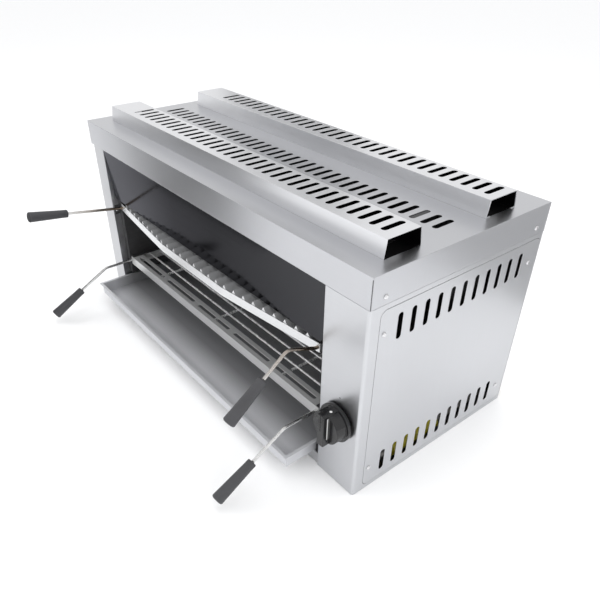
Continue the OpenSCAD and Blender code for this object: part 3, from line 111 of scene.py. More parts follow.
def soft_lamp(name, place, size, watts):
    """A soft lamp turned to the grill. The bright sheet doesn't mirror it."""
    lamp_data = bpy.data.lights.new(name, "AREA")
    lamp_data.shape, lamp_data.size, lamp_data.size_y = "RECTANGLE", size[0], size[1]
    lamp_data.energy = watts
    lamp = bpy.data.objects.new(name, lamp_data)
    lamp.location = place
    lamp.rotation_euler = (grill_middle - Vector(place)).to_track_quat("-Z", "Y").to_euler()
    lamp.visible_glossy = False
    bpy.context.collection.objects.link(lamp)


grill_middle = Vector((0, 0, 0.2))
soft_lamp("lamp_over", place=(0.1, 0.1, 2.4), size=(2.4, 2.0), watts=16)
soft_lamp("lamp_front_left", place=(-1.6, -2.0, 1.5), size=(1.6, 1.4), watts=16)
soft_lamp("lamp_right", place=(2.2, -0.4, 1.2), size=(1.2, 1.4), watts=11)


def grey_screen(name, y, left, right, foot, top, grey):
    """An upright screen along the grill's length, seen only by its sheet."""
    screen_mesh = bpy.data.meshes.new(name)
    screen_corners = [(left, y, foot), (right, y, foot), (right, y, top), (left, y, top)]
    screen_mesh.from_pydata(screen_corners, [], [(0, 1, 2, 3)])
    screen = bpy.data.objects.new(name, screen_mesh)
    cloth = bpy.data.materials.new(name)
    cloth.use_nodes = True
    cloth_shader = cloth.node_tree.nodes["Principled BSDF"]
    cloth_shader.inputs["Base Color"].default_value = (grey, grey, grey, 1)
    cloth_shader.inputs["Roughness"].default_value = 1.0
    screen_mesh.materials.append(cloth)
    bpy.context.collection.objects.link(screen)
    screen.visible_camera = screen.visible_diffuse = False
    screen.visible_shadow = screen.visible_transmission = False


grey_screen("screen_rear", y=0.62, left=-1.15, right=-0.42, foot=0.44, top=1.15, grey=0.42)
grey_screen("screen_front", y=-0.50, left=-0.88, right=-0.26, foot=0.0, top=0.60, grey=0.16)
grey_screen("screen_right", y=0.56, left=0.50, right=1.60, foot=0.0, top=0.75, grey=0.52)

# Casing sheet
# The cover, ducts, casing, frame and pan are 1.2 mm stainless sheet with a satin
# finish, folded over a small radius. Flue soot and painted shade blacken the ducts inside and the cover's
# underside.
def new_finish(name):
    """A new material with its node tree and its shader."""
    made = bpy.data.materials.new(name)
    made.use_nodes = True
    return made, made.node_tree, made.node_tree.nodes["Principled BSDF"]


def link(tree, source, target):
    """Joins an output to an input."""
    tree.links.new(source, target)


def place_scaled(tree, scale):
    """The piece's own coordinates in metres, stretched by scale."""
    spot = tree.nodes.new("ShaderNodeTexCoord")
    stretch = tree.nodes.new("ShaderNodeMapping")
    stretch.inputs["Scale"].default_value = scale
    tree.links.new(spot.outputs["Object"], stretch.inputs["Vector"])
    return stretch.outputs["Vector"]


def mottle(tree, scale, detail=2.0, roughness=0.5):
    """Noise from 0 to 1, with scale features in a metre each way."""
    noise = tree.nodes.new("ShaderNodeTexNoise")
    noise.inputs["Scale"].default_value = 1.0
    noise.inputs["Detail"].default_value = detail
    noise.inputs["Roughness"].default_value = roughness
    tree.links.new(place_scaled(tree, scale), noise.inputs["Vector"])
    return noise.outputs["Fac"]


def spread(tree, value, low, high, in_low=0.3, in_high=0.7):
    """Maps a value to the range low to high."""
    ranged = tree.nodes.new("ShaderNodeMapRange")
    for end, number in (("From Min", in_low), ("From Max", in_high), ("To Min", low), ("To Max", high)):
        ranged.inputs[end].default_value = number
    tree.links.new(value, ranged.inputs["Value"])
    return ranged.outputs["Result"]


def blend_values(tree, share, first, second):
    """Mixes two values by a share."""
    mix = tree.nodes.new("ShaderNodeMix")
    mix.data_type = "FLOAT"
    tree.links.new(share, mix.inputs["Factor"])
    tree.links.new(first, mix.inputs["A"])
    tree.links.new(second, mix.inputs["B"])
    return mix.outputs["Result"]


def sum_of(tree, operation, first, second):
    """One sum on two values; either may be a plain number."""
    sum_node = tree.nodes.new("ShaderNodeMath")
    sum_node.operation = operation
    for term, socket in ((first, sum_node.inputs[0]), (second, sum_node.inputs[1])):
        if isinstance(term, (int, float)):
            socket.default_value = term
        else:
            tree.links.new(term, socket)
    return sum_node.outputs["Value"]


def multiply(tree, first, second):
    """Two values multiplied."""
    return sum_of(tree, "MULTIPLY", first, second)


def how_far(tree, value, middle=0):
    """The distance of a value from a middle, on either side."""
    return sum_of(tree, "ABSOLUTE", sum_of(tree, "SUBTRACT", value, middle), 0)


def below(tree, value, limit):
    """1 where the value is under the limit, else 0."""
    return sum_of(tree, "LESS_THAN", value, limit)


def above(tree, value, limit):
    """1 where the value is over the limit, else 0."""
    return sum_of(tree, "GREATER_THAN", value, limit)


def all_of(tree, *shares):
    """1 where every share is 1, else 0."""
    joined = shares[0]
    for share in shares[1:]:
        joined = multiply(tree, joined, share)
    return joined


def tint(tree, value, dark, light):
    """Colours a value between two tones."""
    ramp = tree.nodes.new("ShaderNodeMix")
    ramp.data_type = "RGBA"
    tree.links.new(value, ramp.inputs["Factor"])
    ramp.inputs["A"].default_value = (*dark, 1)
    ramp.inputs["B"].default_value = (*light, 1)
    return ramp.outputs["Result"]


def overlay(tree, share, under, over):
    """Lays one colour over another by a share."""
    laid = tree.nodes.new("ShaderNodeMix")
    laid.data_type = "RGBA"
    for source, socket in ((share, "Factor"), (under, "A"), (over, "B")):
        tree.links.new(source, laid.inputs[socket])
    return laid.outputs["Result"]


def own_place(tree):
    """The X, Y and Z of a spot on the grill, in metres."""
    spot = tree.nodes.new("ShaderNodeTexCoord")
    parts = tree.nodes.new("ShaderNodeSeparateXYZ")
    tree.links.new(spot.outputs["Object"], parts.inputs[0])
    return parts.outputs["X"], parts.outputs["Y"], parts.outputs["Z"]


def grain_across(tree, fine, coarse):
    """Satin lines along X on faces that look fore, aft, up and down, upright on the ends."""
    facing = tree.nodes.new("ShaderNodeTexCoord")
    parts = tree.nodes.new("ShaderNodeSeparateXYZ")
    tree.links.new(facing.outputs["Normal"], parts.inputs[0])
    end_facing = 0.7
    on_end = above(tree, how_far(tree, parts.outputs["X"]), end_facing)
    along_x = mottle(tree, (coarse, fine, fine), 2.0, 0.5)
    on_ends = mottle(tree, (fine, fine, coarse), 2.0, 0.5)
    return blend_values(tree, on_end, along_x, on_ends)


def satin_sheet(name, tone, rough, cloud=0.05, fold=0.0012, stain_and_shade=None, metal=1.0):
    """Satin stainless: hair lines, cloudy smears, soft folds, and a dark patch by place: soot, fat and painted
    shade.
    """
    made, tree, shader = new_finish(name)
    hair_contrast, black = 0.03, (0, 0, 0)
    hair = grain_across(tree, fine=2200.0, coarse=12.0)
    smear = mottle(tree, (4.0, 4.0, 4.0), 3.0, 0.5)
    tone_share = multiply(tree, spread(tree, hair, 1 - hair_contrast, 1.0), spread(tree, smear, 1 - cloud, 1.0))
    colour = tint(tree, tone_share, black, tone)
    rough_lines, rough_smears = spread(tree, hair, 0.98, 1.02), spread(tree, smear, rough * 0.95, rough * 1.05)
    rough_value = multiply(tree, rough_lines, rough_smears)
    if stain_and_shade:
        share = stain_and_shade(tree)
        # Dark colour for soot and fat, and painted shade where the mask stands for shade inside the casing.
        soot_and_shade_spots = mottle(tree, (60, 60, 60), 3.0)
        soot_and_shade_tone = tint(tree, soot_and_shade_spots, (0.004, 0.004, 0.005), (0.014, 0.013, 0.013))
        colour = overlay(tree, share, colour, soot_and_shade_tone)
        rough_value = blend_values(tree, share, rough_value, spread(tree, smear, 0.55, 0.75))
    link(tree, colour, shader.inputs["Base Color"])
    link(tree, rough_value, shader.inputs["Roughness"])
    shader.inputs["Metallic"].default_value = metal
    bump = tree.nodes.new("ShaderNodeBump")
    bump.inputs["Strength"].default_value = 0.05
    bump.inputs["Distance"].default_value = 0.00001
    link(tree, hair, bump.inputs["Height"])
    if fold:
        bend = tree.nodes.new("ShaderNodeBevel")
        bend.samples = 6
        bend.inputs["Radius"].default_value = fold
        link(tree, bend.outputs["Normal"], bump.inputs["Normal"])
    link(tree, bump.outputs["Normal"], shader.inputs["Normal"])
    return made


def dress(finish, *names, fold=0.0):
    """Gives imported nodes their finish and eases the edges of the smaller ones."""
    for name in names:
        body = grill_parts[name]
        body.data.materials.clear()
        body.data.materials.append(finish)
        if fold:
            joined = body.modifiers.new("joined", "WELD")
            joined.merge_threshold = 0.00001
            eased = body.modifiers.new("eased", "BEVEL")
            eased.width, eased.segments = fold, 2
            eased.limit_method, eased.angle_limit = "ANGLE", math.radians(40)
            eased.use_clamp_overlap = True
            eased.harden_normals = True


duct_middle_x, duct_middle_y, duct_apart = 0.0015, -0.0095, 0.1105
duct_half_foot, duct_half_long, duct_lean = 0.0369, 0.4215, 4 / 29
lid_top_z, lid_skin_z, lid_under_z, duct_roof_z = 0.420, 0.4194, 0.4180, 0.4484
skirt_inside_x, skirt_inside_y = 0.4490, 0.2030
seam_from_x, seam_from_y, seam_top_z, seam_share = 0.4493, 0.2033, 0.4170, 0.8


def duct_soot_and_shade(tree):
    """Soot and painted shade inside the ducts, on the cover under them and under the cover; a dark joint in its
    corner seams.
    """
    x, y, z = own_place(tree)
    from_axis = how_far(tree, how_far(tree, y, duct_middle_y), duct_apart)
    over_lid = sum_of(tree, "SUBTRACT", z, lid_top_z)
    leaned = sum_of(tree, "ADD", from_axis, multiply(tree, over_lid, duct_lean))
    # Painted shade, with some soot, inside the ducts and under the cover.
    in_duct = all_of(
        tree,
        below(tree, leaned, duct_half_foot),
        below(tree, z, duct_roof_z),
        below(tree, how_far(tree, x, duct_middle_x), duct_half_long),
        above(tree, z, lid_under_z),
    )
    beneath = all_of(
        tree,
        below(tree, z, lid_skin_z),
        above(tree, z, lid_under_z),
        below(tree, how_far(tree, x), skirt_inside_x),
        below(tree, how_far(tree, y), skirt_inside_y),
    )
    seam = all_of(
        tree,
        above(tree, how_far(tree, x), seam_from_x),
        above(tree, how_far(tree, y), seam_from_y),
        below(tree, z, seam_top_z),
    )
    sooted_and_shaded = sum_of(tree, "MAXIMUM", in_duct, beneath)
    return sum_of(tree, "MAXIMUM", sooted_and_shaded, multiply(tree, seam, seam_share))


pillar_inside_x, panel_inside_x, pillar_inside_y = 0.3608, 0.4494, -0.1980


def inside_shade(tree):
    """Painted shade on the back of the pillar's and the service panel's sheet."""
    x, y = own_place(tree)[:2]
    return all_of(
        tree,
        below(tree, x, panel_inside_x),
        above(tree, x, pillar_inside_x),
        above(tree, y, pillar_inside_y),
    )


cover_steel = satin_sheet("cover_steel", (0.565, 0.571, 0.594), 0.31, stain_and_shade=duct_soot_and_shade)
dress(cover_steel, "top_cover")
duct_steel = satin_sheet("duct_steel", (0.80, 0.805, 0.825), 0.33, stain_and_shade=duct_soot_and_shade)
dress(duct_steel, "front_duct", "rear_duct")
frame_steel = satin_sheet("frame_steel", (0.60, 0.607, 0.628), 0.31, stain_and_shade=inside_shade)
dress(frame_steel, "right_frame", "service_panel")
casing_steel = satin_sheet("casing_steel", (0.565, 0.57, 0.585), 0.31)
dress(casing_steel, "left_casing", "base_pan", "rear_panel")

# Casing screws
# Bright plated pan head screws hold the cover, the service panel and the rear
# panel, and one in each liner tab. Their heads catch the light.
def mottled_finish(name, scale, detail, dark, light, rough, metal=0.0):
    """A finish that one fine noise tones and dulls. Also gives its tree, shader and noise."""
    made, tree, shader = new_finish(name)
    wear = mottle(tree, scale, detail)
    link(tree, tint(tree, wear, dark, light), shader.inputs["Base Color"])
    link(tree, spread(tree, wear, *rough), shader.inputs["Roughness"])
    shader.inputs["Metallic"].default_value = metal
    return made, tree, shader, wear


screw_plating = mottled_finish(
    "screw_plating", (900, 900, 900), 2.0,
    dark=(0.62, 0.62, 0.63), light=(0.82, 0.82, 0.83), rough=(0.16, 0.3), metal=1.0,
)[0]
dress(screw_plating, "casing_screws", "valve_plunger", fold=0.0003)

# Heat deflector
# A leaning mirror polished sheet behind the fascia. It hides the burners. Its
# colour is a painted reflection, darkest in the middle and lightest at its left end.
mirror_steel, mirror_tree, mirror_shader = new_finish("deflector_mirror")
mirror_cloud = mottle(mirror_tree, (3.0, 3.0, 7.0), 3.0, 0.6)
mirror_lines = mottle(mirror_tree, (4, 900, 900), 3.0, 0.6)
mirror_x = own_place(mirror_tree)[0]
mirror_left_end, mirror_darkest_from, mirror_darkest_to, mirror_right_end = -0.39, -0.1, 0.05, 0.34
# Painted reflection: the tone falls from the left end to the darkest middle and rises a little to the right
# end.
mirror_left = spread(mirror_tree, mirror_x, 1.0, 0.0, mirror_left_end, mirror_darkest_from)
mirror_right = spread(mirror_tree, mirror_x, 0.0, 0.45, mirror_darkest_to, mirror_right_end)
mirror_painted_reflection = mirror_tree.nodes.new("ShaderNodeMath")
mirror_painted_reflection.operation = "ADD"
mirror_painted_reflection.use_clamp = True
mirror_cloudy = spread(mirror_tree, mirror_cloud, 0.7, 1.0)
link(mirror_tree, multiply(mirror_tree, mirror_left, mirror_cloudy), mirror_painted_reflection.inputs[0])
link(mirror_tree, mirror_right, mirror_painted_reflection.inputs[1])
mirror_reflection_tone = tint(mirror_tree, mirror_painted_reflection.outputs[0], (0.022, 0.022, 0.0225), (0.098, 0.099, 0.106))
link(mirror_tree, mirror_reflection_tone, mirror_shader.inputs["Base Color"])
link(mirror_tree, spread(mirror_tree, mirror_lines, 0.10, 0.17), mirror_shader.inputs["Roughness"])
mirror_shader.inputs["Metallic"].default_value = 1.0
mirror_shader.inputs["Specular Tint"].default_value = (0.6, 0.6, 0.62, 1)
dress(mirror_steel, "heat_deflector")

# Liners, runners and burner shelf
# Plain stainless sheet round the grilling space and the ledges that carry the
# shelves. Heat has blued and browned it and fat smoke has dulled it; its colour is painted darker still for the
# shade inside the casing.
def raise_grain(tree, shader, height, strength, distance, under=None):
    """Lets a value raise the surface by up to a distance in metres."""
    bump = tree.nodes.new("ShaderNodeBump")
    bump.inputs["Strength"].default_value = strength
    bump.inputs["Distance"].default_value = distance
    link(tree, height, bump.inputs["Height"])
    if under is not None:
        link(tree, under, bump.inputs["Normal"])
    link(tree, bump.outputs["Normal"], shader.inputs["Normal"])


liner_steel, liner_tree, liner_shader = new_finish("liner_steel")
liner_heat = mottle(liner_tree, (9, 9, 9), 4.0, 0.6)
liner_lines = mottle(liner_tree, (700, 30, 700), 2.0)
liner_mixed = blend_values(liner_tree, liner_heat, liner_heat, liner_lines)
# Painted shade: the heat tint is darkened further for the shade inside the casing.
liner_heat_and_shade_tone = tint(liner_tree, liner_mixed, (0.02, 0.019, 0.018), (0.10, 0.10, 0.105))
link(liner_tree, liner_heat_and_shade_tone, liner_shader.inputs["Base Color"])
link(liner_tree, spread(liner_tree, liner_heat, 0.45, 0.65), liner_shader.inputs["Roughness"])
liner_shader.inputs["Metallic"].default_value = 0.5
raise_grain(liner_tree, liner_shader, liner_lines, strength=0.2, distance=0.00004)
dress(
    liner_steel, "left_liner", "right_liner", "rear_liner", "burner_shelf", "pipe_shield",
    "upper_runner_left", "upper_runner_right", "lower_runner_left", "lower_runner_right",
    "tray_runner_left", "tray_runner_right", "manifold_clips",
)

# Burners
# Pressed steel gas boxes with perforated clay plaques under them and wire guards
# below. The plaques are baked pink and grey, with rows of fine flame holes.
burner_steel = satin_sheet("burner_steel", (0.10, 0.095, 0.09), 0.5, cloud=0.3, fold=0)
dress(burner_steel, "burner_left", "burner_right")
plaque_clay, clay_tree, clay_shader = new_finish("plaque_clay")
clay_spot = clay_tree.nodes.new("ShaderNodeTexVoronoi")
clay_spot.feature = "F1"
clay_spot.inputs["Scale"].default_value = 1.0
clay_spot.inputs["Randomness"].default_value = 0.0
holes_in_a_metre = 400
link(clay_tree, place_scaled(clay_tree, (holes_in_a_metre, holes_in_a_metre, 0.01)), clay_spot.inputs["Vector"])
clay_hole = spread(clay_tree, clay_spot.outputs["Distance"], 0.0, 1.0, 0.2, 0.3)
clay_bake = mottle(clay_tree, (30, 30, 30), 3.0)
clay_light = multiply(clay_tree, clay_hole, spread(clay_tree, clay_bake, 0.75, 1.0))
clay_tone = tint(clay_tree, clay_light, (0.10, 0.07, 0.06), (0.80, 0.70, 0.62))
link(clay_tree, clay_tone, clay_shader.inputs["Base Color"])
clay_shader.inputs["Roughness"].default_value = 0.9
raise_grain(clay_tree, clay_shader, clay_hole, strength=1.0, distance=0.0006)
dress(plaque_clay, "plaque_left", "plaque_right")

# Wires
# The rack's bars, the supports under them and the burner guards are drawn wire,
# bright plated and welded at the crossings.
wire_plating = mottled_finish(
    "wire_plating", (60, 300, 300), 3.0,
    dark=(0.74, 0.74, 0.735), light=(0.90, 0.90, 0.905), rough=(0.2, 0.34), metal=0.55,
)[0]
dress(wire_plating, "rack_wires", "rack_supports", "guard_left", "guard_right")

# Brander shelf
# A welded stainless frame with a bowed lip, and a plate with a row of upright
# ridges behind it that sear lines into the food. Both are satin and clean.
brander_steel = satin_sheet(
    "brander_steel", (0.72, 0.725, 0.735), 0.26, cloud=0.06, fold=0.0006, metal=0.65,
)
dress(brander_steel, "brander_frame", "brander_plate")

# Toasting rack
# A folded frame with a slotted front bar, cut and bent from satin sheet.
rack_steel = satin_sheet("rack_steel", (0.70, 0.70, 0.70), 0.34, cloud=0.08, fold=0.0006, metal=0.6)
dress(rack_steel, "toasting_rack")

# Drip tray
# A wide shallow tray with a turned rim. Its floor is brushed along its length and
# dark where it lies under the rack: burnt fat and painted shade.
# Painted shade with burnt fat: the tray darkens from here towards the back.
fat_shade_begins_y, fat_shade_full_y, fat_shade_share = -0.235, -0.185, 0.62


def fat_and_painted_shade(tree):
    """The part of the tray that stays under the rack: burnt fat and painted shade."""
    y = own_place(tree)[1]
    return spread(tree, y, 0.0, fat_shade_share, fat_shade_begins_y, fat_shade_full_y)


tray_steel = satin_sheet("tray_steel", (0.62, 0.625, 0.65), 0.42, cloud=0.08, stain_and_shade=fat_and_painted_shade, metal=0.35)
dress(tray_steel, "drip_tray")

# Handle rods
# Four 6 mm plated steel rods, cold bent. They run through the shelves' front bars and
# along their rails. The upper ones have browned near the burners.
def swept_round(name, points, radius, bend, sides=20, steps=8):
    """A round rod along straight runs joined by smooth bends, with rounded ends."""
    spots = [Vector(p) for p in points]
    path = [spots[0]]
    for before, here, after in zip(spots, spots[1:], spots[2:]):
        into, out = (here - before).normalized(), (after - here).normalized()
        turn = into.angle(out)
        reach = bend * math.tan(turn / 2)
        start, end = here - into * reach, here + out * reach
        for k in range(steps + 1):
            t = k / steps
            path.append(start * (1 - t) ** 2 + here * 2 * t * (1 - t) + end * t ** 2)
    path.append(spots[-1])
    tangents = []
    for i, spot in enumerate(path):
        ahead = path[min(i + 1, len(path) - 1)] - spot
        behind = spot - path[max(i - 1, 0)]
        if 0 < i < len(path) - 1:
            ahead, behind = ahead.normalized(), behind.normalized()
        tangents.append((ahead + behind).normalized())
    ease = radius * 0.3
    first, last = tangents[0], tangents[-1]
    rings = [(path[0], radius - ease, first), (path[0] + first * ease, radius, first)]
    rings += [(spot, radius, tangent) for spot, tangent in zip(path[1:-1], tangents[1:-1])]
    rings += [(path[-1] - last * ease, radius, last), (path[-1], radius - ease, last)]
    side = Vector((1, 0, 0))
    shape = bmesh.new()
    loops = []
    for spot, r, tangent in rings:
        across = (side - tangent * side.dot(tangent)).normalized()
        up = tangent.cross(across)
        loops.append([
            shape.verts.new(spot + across * (r * math.cos(a)) + up * (r * math.sin(a)))
            for a in (2 * math.pi * k / sides for k in range(sides))
        ])
    for one, two in zip(loops, loops[1:]):
        for k in range(sides):
            shape.faces.new((one[k], one[(k + 1) % sides], two[(k + 1) % sides], two[k]))
    shape.faces.new(list(reversed(loops[0])))
    shape.faces.new(loops[-1])
    bmesh.ops.recalc_face_normals(shape, faces=shape.faces)
    return finished_piece(name, shape)


def finished_piece(name, shape):
    """Turns a bmesh into a piece in the scene, smooth shaded but for its sharp edges."""
    mesh = bpy.data.meshes.new(name)
    shape.to_mesh(mesh)
    shape.free()
    mesh.shade_smooth()
    mesh.set_sharp_from_angle(angle=math.radians(50))
    piece = bpy.data.objects.new(name, mesh)
    bpy.context.collection.objects.link(piece)
    return piece


rod_plating, rod_tree, rod_shader = new_finish("rod_plating")
rod_wear = mottle(rod_tree, (260, 40, 260), 3.0)
rod_y, rod_z = own_place(rod_tree)[1:]
browned_between_y, browned_between_z = (-0.33, -0.22), (0.14, 0.2)
rod_heat = multiply(
    rod_tree,
    spread(rod_tree, rod_y, 0.0, 1.0, *browned_between_y),
    spread(rod_tree, rod_z, 0.0, 1.0, *browned_between_z),
)
rod_hot = tint(rod_tree, rod_wear, (0.20, 0.15, 0.11), (0.36, 0.29, 0.22))
rod_cool = tint(rod_tree, rod_wear, (0.56, 0.56, 0.55), (0.80, 0.80, 0.80))
link(rod_tree, overlay(rod_tree, rod_heat, rod_cool, rod_hot), rod_shader.inputs["Base Color"])
link(rod_tree, spread(rod_tree, rod_wear, 0.18, 0.34), rod_shader.inputs["Roughness"])
rod_shader.inputs["Metallic"].default_value = 1.0
rod_radius, rod_bend = 0.003, 0.018
left_rod_x, right_rod_x = -0.3655, 0.3335
upper_rod_z, lower_rod_z = 0.2375, 0.101
rod_rear_y, upper_turn_y, lower_turn_y = -0.150, -0.194, -0.257
lower_neck_y, lower_neck_z = -0.3243, 0.0637
rod_routes = {
    "upper_rod_left": [
        (left_rod_x, rod_rear_y, upper_rod_z), (left_rod_x, upper_turn_y, upper_rod_z),
        (left_rod_x, -0.3184, 0.2572),
    ],
    "upper_rod_right": [
        (right_rod_x, rod_rear_y, upper_rod_z), (right_rod_x, upper_turn_y, upper_rod_z),
        (right_rod_x, -0.2519, 0.2597), (right_rod_x, -0.2982, 0.2248),
    ],
    "lower_rod_left": [
        (left_rod_x, rod_rear_y, lower_rod_z), (left_rod_x, lower_turn_y, lower_rod_z),
        (left_rod_x, lower_neck_y, lower_neck_z),
    ],
    "lower_rod_right": [
        (right_rod_x, rod_rear_y, lower_rod_z), (right_rod_x, lower_turn_y, lower_rod_z),
        (right_rod_x, lower_neck_y, lower_neck_z),
    ],
}
grip_depth_in = 0.050


def run_on(points, extra):
    """The same route with its last point moved on along its last run."""
    last, before = Vector(points[-1]), Vector(points[-2])
    return points[:-1] + [tuple(last + (last - before).normalized() * extra)]


for rod_name, route in rod_routes.items():
    shelf_body = "brander_shelf" if rod_name.startswith("upper") else "rack_shelf"
    rod = swept_round(rod_name + "_bent", run_on(route, grip_depth_in), rod_radius, rod_bend)
    rod.data.materials.append(rod_plating)
    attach(rod, shelf_body)
    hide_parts(rod_name)

# Hand grips
# Moulded heat resistant plastic, matt charcoal, pushed on the rods. Each is
# slimmer at the neck, swells to the tail and ends in a rounded edge.
grip_moulding, grip_tree, grip_shader = new_finish("grip_moulding")
grip_pits = mottle(grip_tree, (1500, 1500, 1500), 3.0)
grip_rub = mottle(grip_tree, (35, 35, 35), 3.0)
grip_tone = tint(grip_tree, grip_rub, (0.040, 0.040, 0.043), (0.062, 0.062, 0.067))
link(grip_tree, grip_tone, grip_shader.inputs["Base Color"])
link(grip_tree, spread(grip_tree, grip_rub, 0.48, 0.62), grip_shader.inputs["Roughness"])
raise_grain(grip_tree, grip_shader, grip_pits, strength=0.4, distance=0.00008)
grip_long, neck_r, tail_r = 0.084, 0.0082, 0.011
neck_bead, neck_ease, tail_ease = 0.0003, 0.0018, 0.0035


def turned(name, start, direction, outline, sides=48):
    """A turned shape: outline holds (distance along, radius) pairs."""
    along = Vector(direction).normalized()
    across = along.orthogonal().normalized()
    up = along.cross(across)
    shape = bmesh.new()
    loops = []
    for far, r in outline:
        centre = Vector(start) + along * far
        if r == 0:
            loops.append([shape.verts.new(centre)])
        else:
            loops.append([
                shape.verts.new(centre + across * (r * math.cos(a)) + up * (r * math.sin(a)))
                for a in (2 * math.pi * k / sides for k in range(sides))
            ])
    for one, two in zip(loops, loops[1:]):
        for k in range(sides):
            n = (k + 1) % sides
            if len(one) == 1:
                shape.faces.new((one[0], two[n], two[k]))
            elif len(two) == 1:
                shape.faces.new((one[k], one[n], two[0]))
            else:
                shape.faces.new((one[k], one[n], two[n], two[k]))
    bmesh.ops.recalc_face_normals(shape, faces=shape.faces)
    return finished_piece(name, shape)


def rounded(far, r, ease, quarter, steps=6):
    """Points of a quarter round at a shoulder: quarter 0 opens out, 1 closes in."""
    points = []
    for k in range(steps + 1):
        a = math.pi / 2 * k / steps
        if quarter == 0:
            points.append((far + ease * (1 - math.cos(a)), r - ease * (1 - math.sin(a))))
        else:
            points.append((far - ease * (1 - math.sin(a)), r - ease * (1 - math.cos(a))))
    return points


for rod_name, route in rod_routes.items():
    grip_name = rod_name.replace("rod", "grip")
    neck, before = Vector(route[-1]), Vector(route[-2])
    swell = [(grip_long * t, neck_r + (tail_r - neck_r) * t) for t in (0.15, 0.3, 0.45, 0.6, 0.75, 0.9)]
    neck_round = rounded(0, neck_r + neck_bead, neck_ease, 0)
    tail_round = rounded(grip_long, tail_r, tail_ease, 1)
    outline = [(0, 0)] + neck_round + swell + tail_round + [(grip_long, 0)]
    grip = turned(grip_name + "_moulded", neck, neck - before, outline)
    grip.data.materials.append(grip_moulding)
    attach(grip, "brander_shelf" if rod_name.startswith("upper") else "rack_shelf")
    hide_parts(grip_name)

# Control knob
# Moulded black plastic, glossy, with a skirt, a barrel and a raised bar to turn it
# by. A painted highlight runs down one side of the bar, and a painted highlight dot sits on the barrel.
knob_gloss, knob_tree, knob_shader = new_finish("knob_gloss")
knob_rub = mottle(knob_tree, (120, 120, 120), 3.0)
knob_black = tint(knob_tree, knob_rub, (0.006, 0.006, 0.007), (0.012, 0.012, 0.013))
knob_x, knob_y, knob_z = own_place(knob_tree)
# Painted highlights: a pale line down the bar's right edge and a pale dot on top of the barrel.
bar_side_x, bar_foot_y, bar_highlight_foot, bar_highlight_top = 0.4125, -0.2346, 0.1210, 0.1650
bar_edge_highlight = all_of(
    knob_tree,
    above(knob_tree, knob_x, bar_side_x - 0.0005),
    below(knob_tree, knob_x, bar_side_x + 0.0006),
    above(knob_tree, knob_y, bar_foot_y - 0.0011),
    below(knob_tree, knob_y, bar_foot_y + 0.0011),
    above(knob_tree, knob_z, bar_highlight_foot),
    below(knob_tree, knob_z, bar_highlight_top),
)
glint_x, glint_y, glint_radius = 0.4075, -0.2240, 0.00228
glint_across = sum_of(knob_tree, "SUBTRACT", knob_x, glint_x)
glint_along = sum_of(knob_tree, "SUBTRACT", knob_y, glint_y)
from_glint = sum_of(
    knob_tree, "ADD", multiply(knob_tree, glint_across, glint_across), multiply(knob_tree, glint_along, glint_along)
)
barrel_glint = all_of(
    knob_tree, below(knob_tree, from_glint, glint_radius ** 2), above(knob_tree, knob_z, bar_highlight_top)
)
highlight_tone = tint(knob_tree, knob_rub, (0.62, 0.62, 0.61), (0.80, 0.80, 0.79))
painted_highlights = sum_of(knob_tree, "MAXIMUM", bar_edge_highlight, barrel_glint)
link(knob_tree, overlay(knob_tree, painted_highlights, knob_black, highlight_tone), knob_shader.inputs["Base Color"])
link(knob_tree, spread(knob_tree, knob_rub, 0.14, 0.24), knob_shader.inputs["Roughness"])
knob_ease = knob_tree.nodes.new("ShaderNodeBevel")
knob_ease.samples = 8
knob_ease.inputs["Radius"].default_value = 0.0022
raise_grain(knob_tree, knob_shader, knob_rub, strength=0.1, distance=0.0002, under=knob_ease.outputs["Normal"])
dress(knob_gloss, "knob", fold=0.0004)

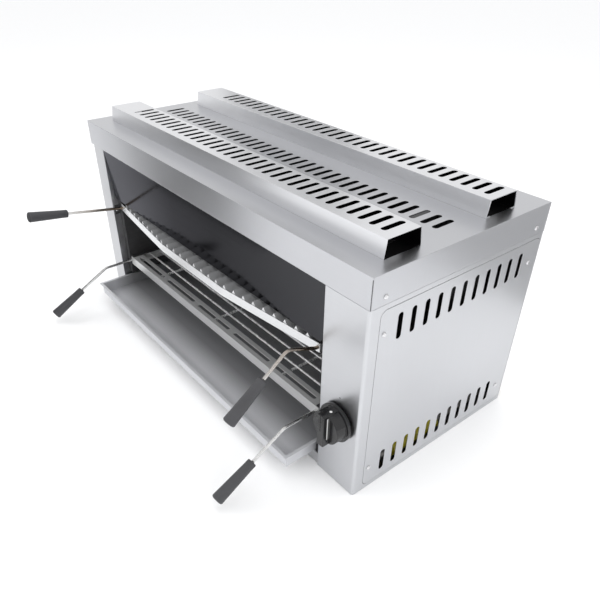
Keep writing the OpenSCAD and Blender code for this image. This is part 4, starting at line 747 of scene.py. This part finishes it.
# Index mark
# A small grey printed dot on the pillar above the knob, where the bar points when
# the gas is off. It is a film of ink, drawn as a thin disc.
mark_ink = mottled_finish(
    "mark_ink", (2000, 2000, 2000), 2.0, dark=(0.06, 0.06, 0.07), light=(0.14, 0.14, 0.15), rough=(0.35, 0.5),
)[0]
mark_x, mark_z, mark_sides = 0.405, 0.187, 32
mark_back, mark_face = (-0.20395, 0.0015), (-0.20412, 0.0014)
dot_shape = bmesh.new()
dot_rings = [
    [
        dot_shape.verts.new((mark_x + r * math.cos(a), y, mark_z + r * math.sin(a)))
        for a in (2 * math.pi * k / mark_sides for k in range(mark_sides))
    ]
    for y, r in (mark_back, mark_face)
]
dot_shape.faces.new(dot_rings[1])
dot_shape.faces.new(list(reversed(dot_rings[0])))
for k in range(mark_sides):
    n = (k + 1) % mark_sides
    dot_shape.faces.new((dot_rings[0][k], dot_rings[0][n], dot_rings[1][n], dot_rings[1][k]))
bmesh.ops.recalc_face_normals(dot_shape, faces=dot_shape.faces)
index_dot = finished_piece("index_dot", dot_shape)
index_dot.data.materials.append(mark_ink)
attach(index_dot, "casing")

# Gas parts
# A cast brass valve and turned brass injectors and inlet, drawn steel manifold and
# inlet pipe, a copper feed pipe, and a yellow sleeve round the pipe to the inlet.
valve_brass, brass_tree, brass_shader, brass_skin = mottled_finish(
    "valve_brass", (500, 500, 500), 4.0,
    dark=(0.45, 0.34, 0.16), light=(0.68, 0.54, 0.28), rough=(0.3, 0.5), metal=1.0,
)
raise_grain(brass_tree, brass_shader, brass_skin, strength=0.3, distance=0.0002)
dress(valve_brass, "gas_valve", "valve_spindle", "injectors", "inlet_fitting")
pipe_steel = mottled_finish(
    "pipe_steel", (80, 80, 80), 4.0,
    dark=(0.22, 0.21, 0.20), light=(0.42, 0.41, 0.40), rough=(0.35, 0.55), metal=1.0,
)[0]
dress(pipe_steel, "manifold", "inlet_pipe", "pilot_burner")
copper_tube = mottled_finish(
    "copper_tube", (90, 90, 90), 4.0,
    dark=(0.40, 0.19, 0.11), light=(0.72, 0.38, 0.26), rough=(0.25, 0.45), metal=1.0,
)[0]
dress(copper_tube, "feed_pipe", "thermocouple")
sleeve_plastic = mottled_finish(
    "sleeve_plastic", (70, 70, 70), 3.0, dark=(0.66, 0.56, 0.03), light=(0.86, 0.76, 0.07), rough=(0.4, 0.6),
)[0]
dress(sleeve_plastic, "pipe_sleeve")
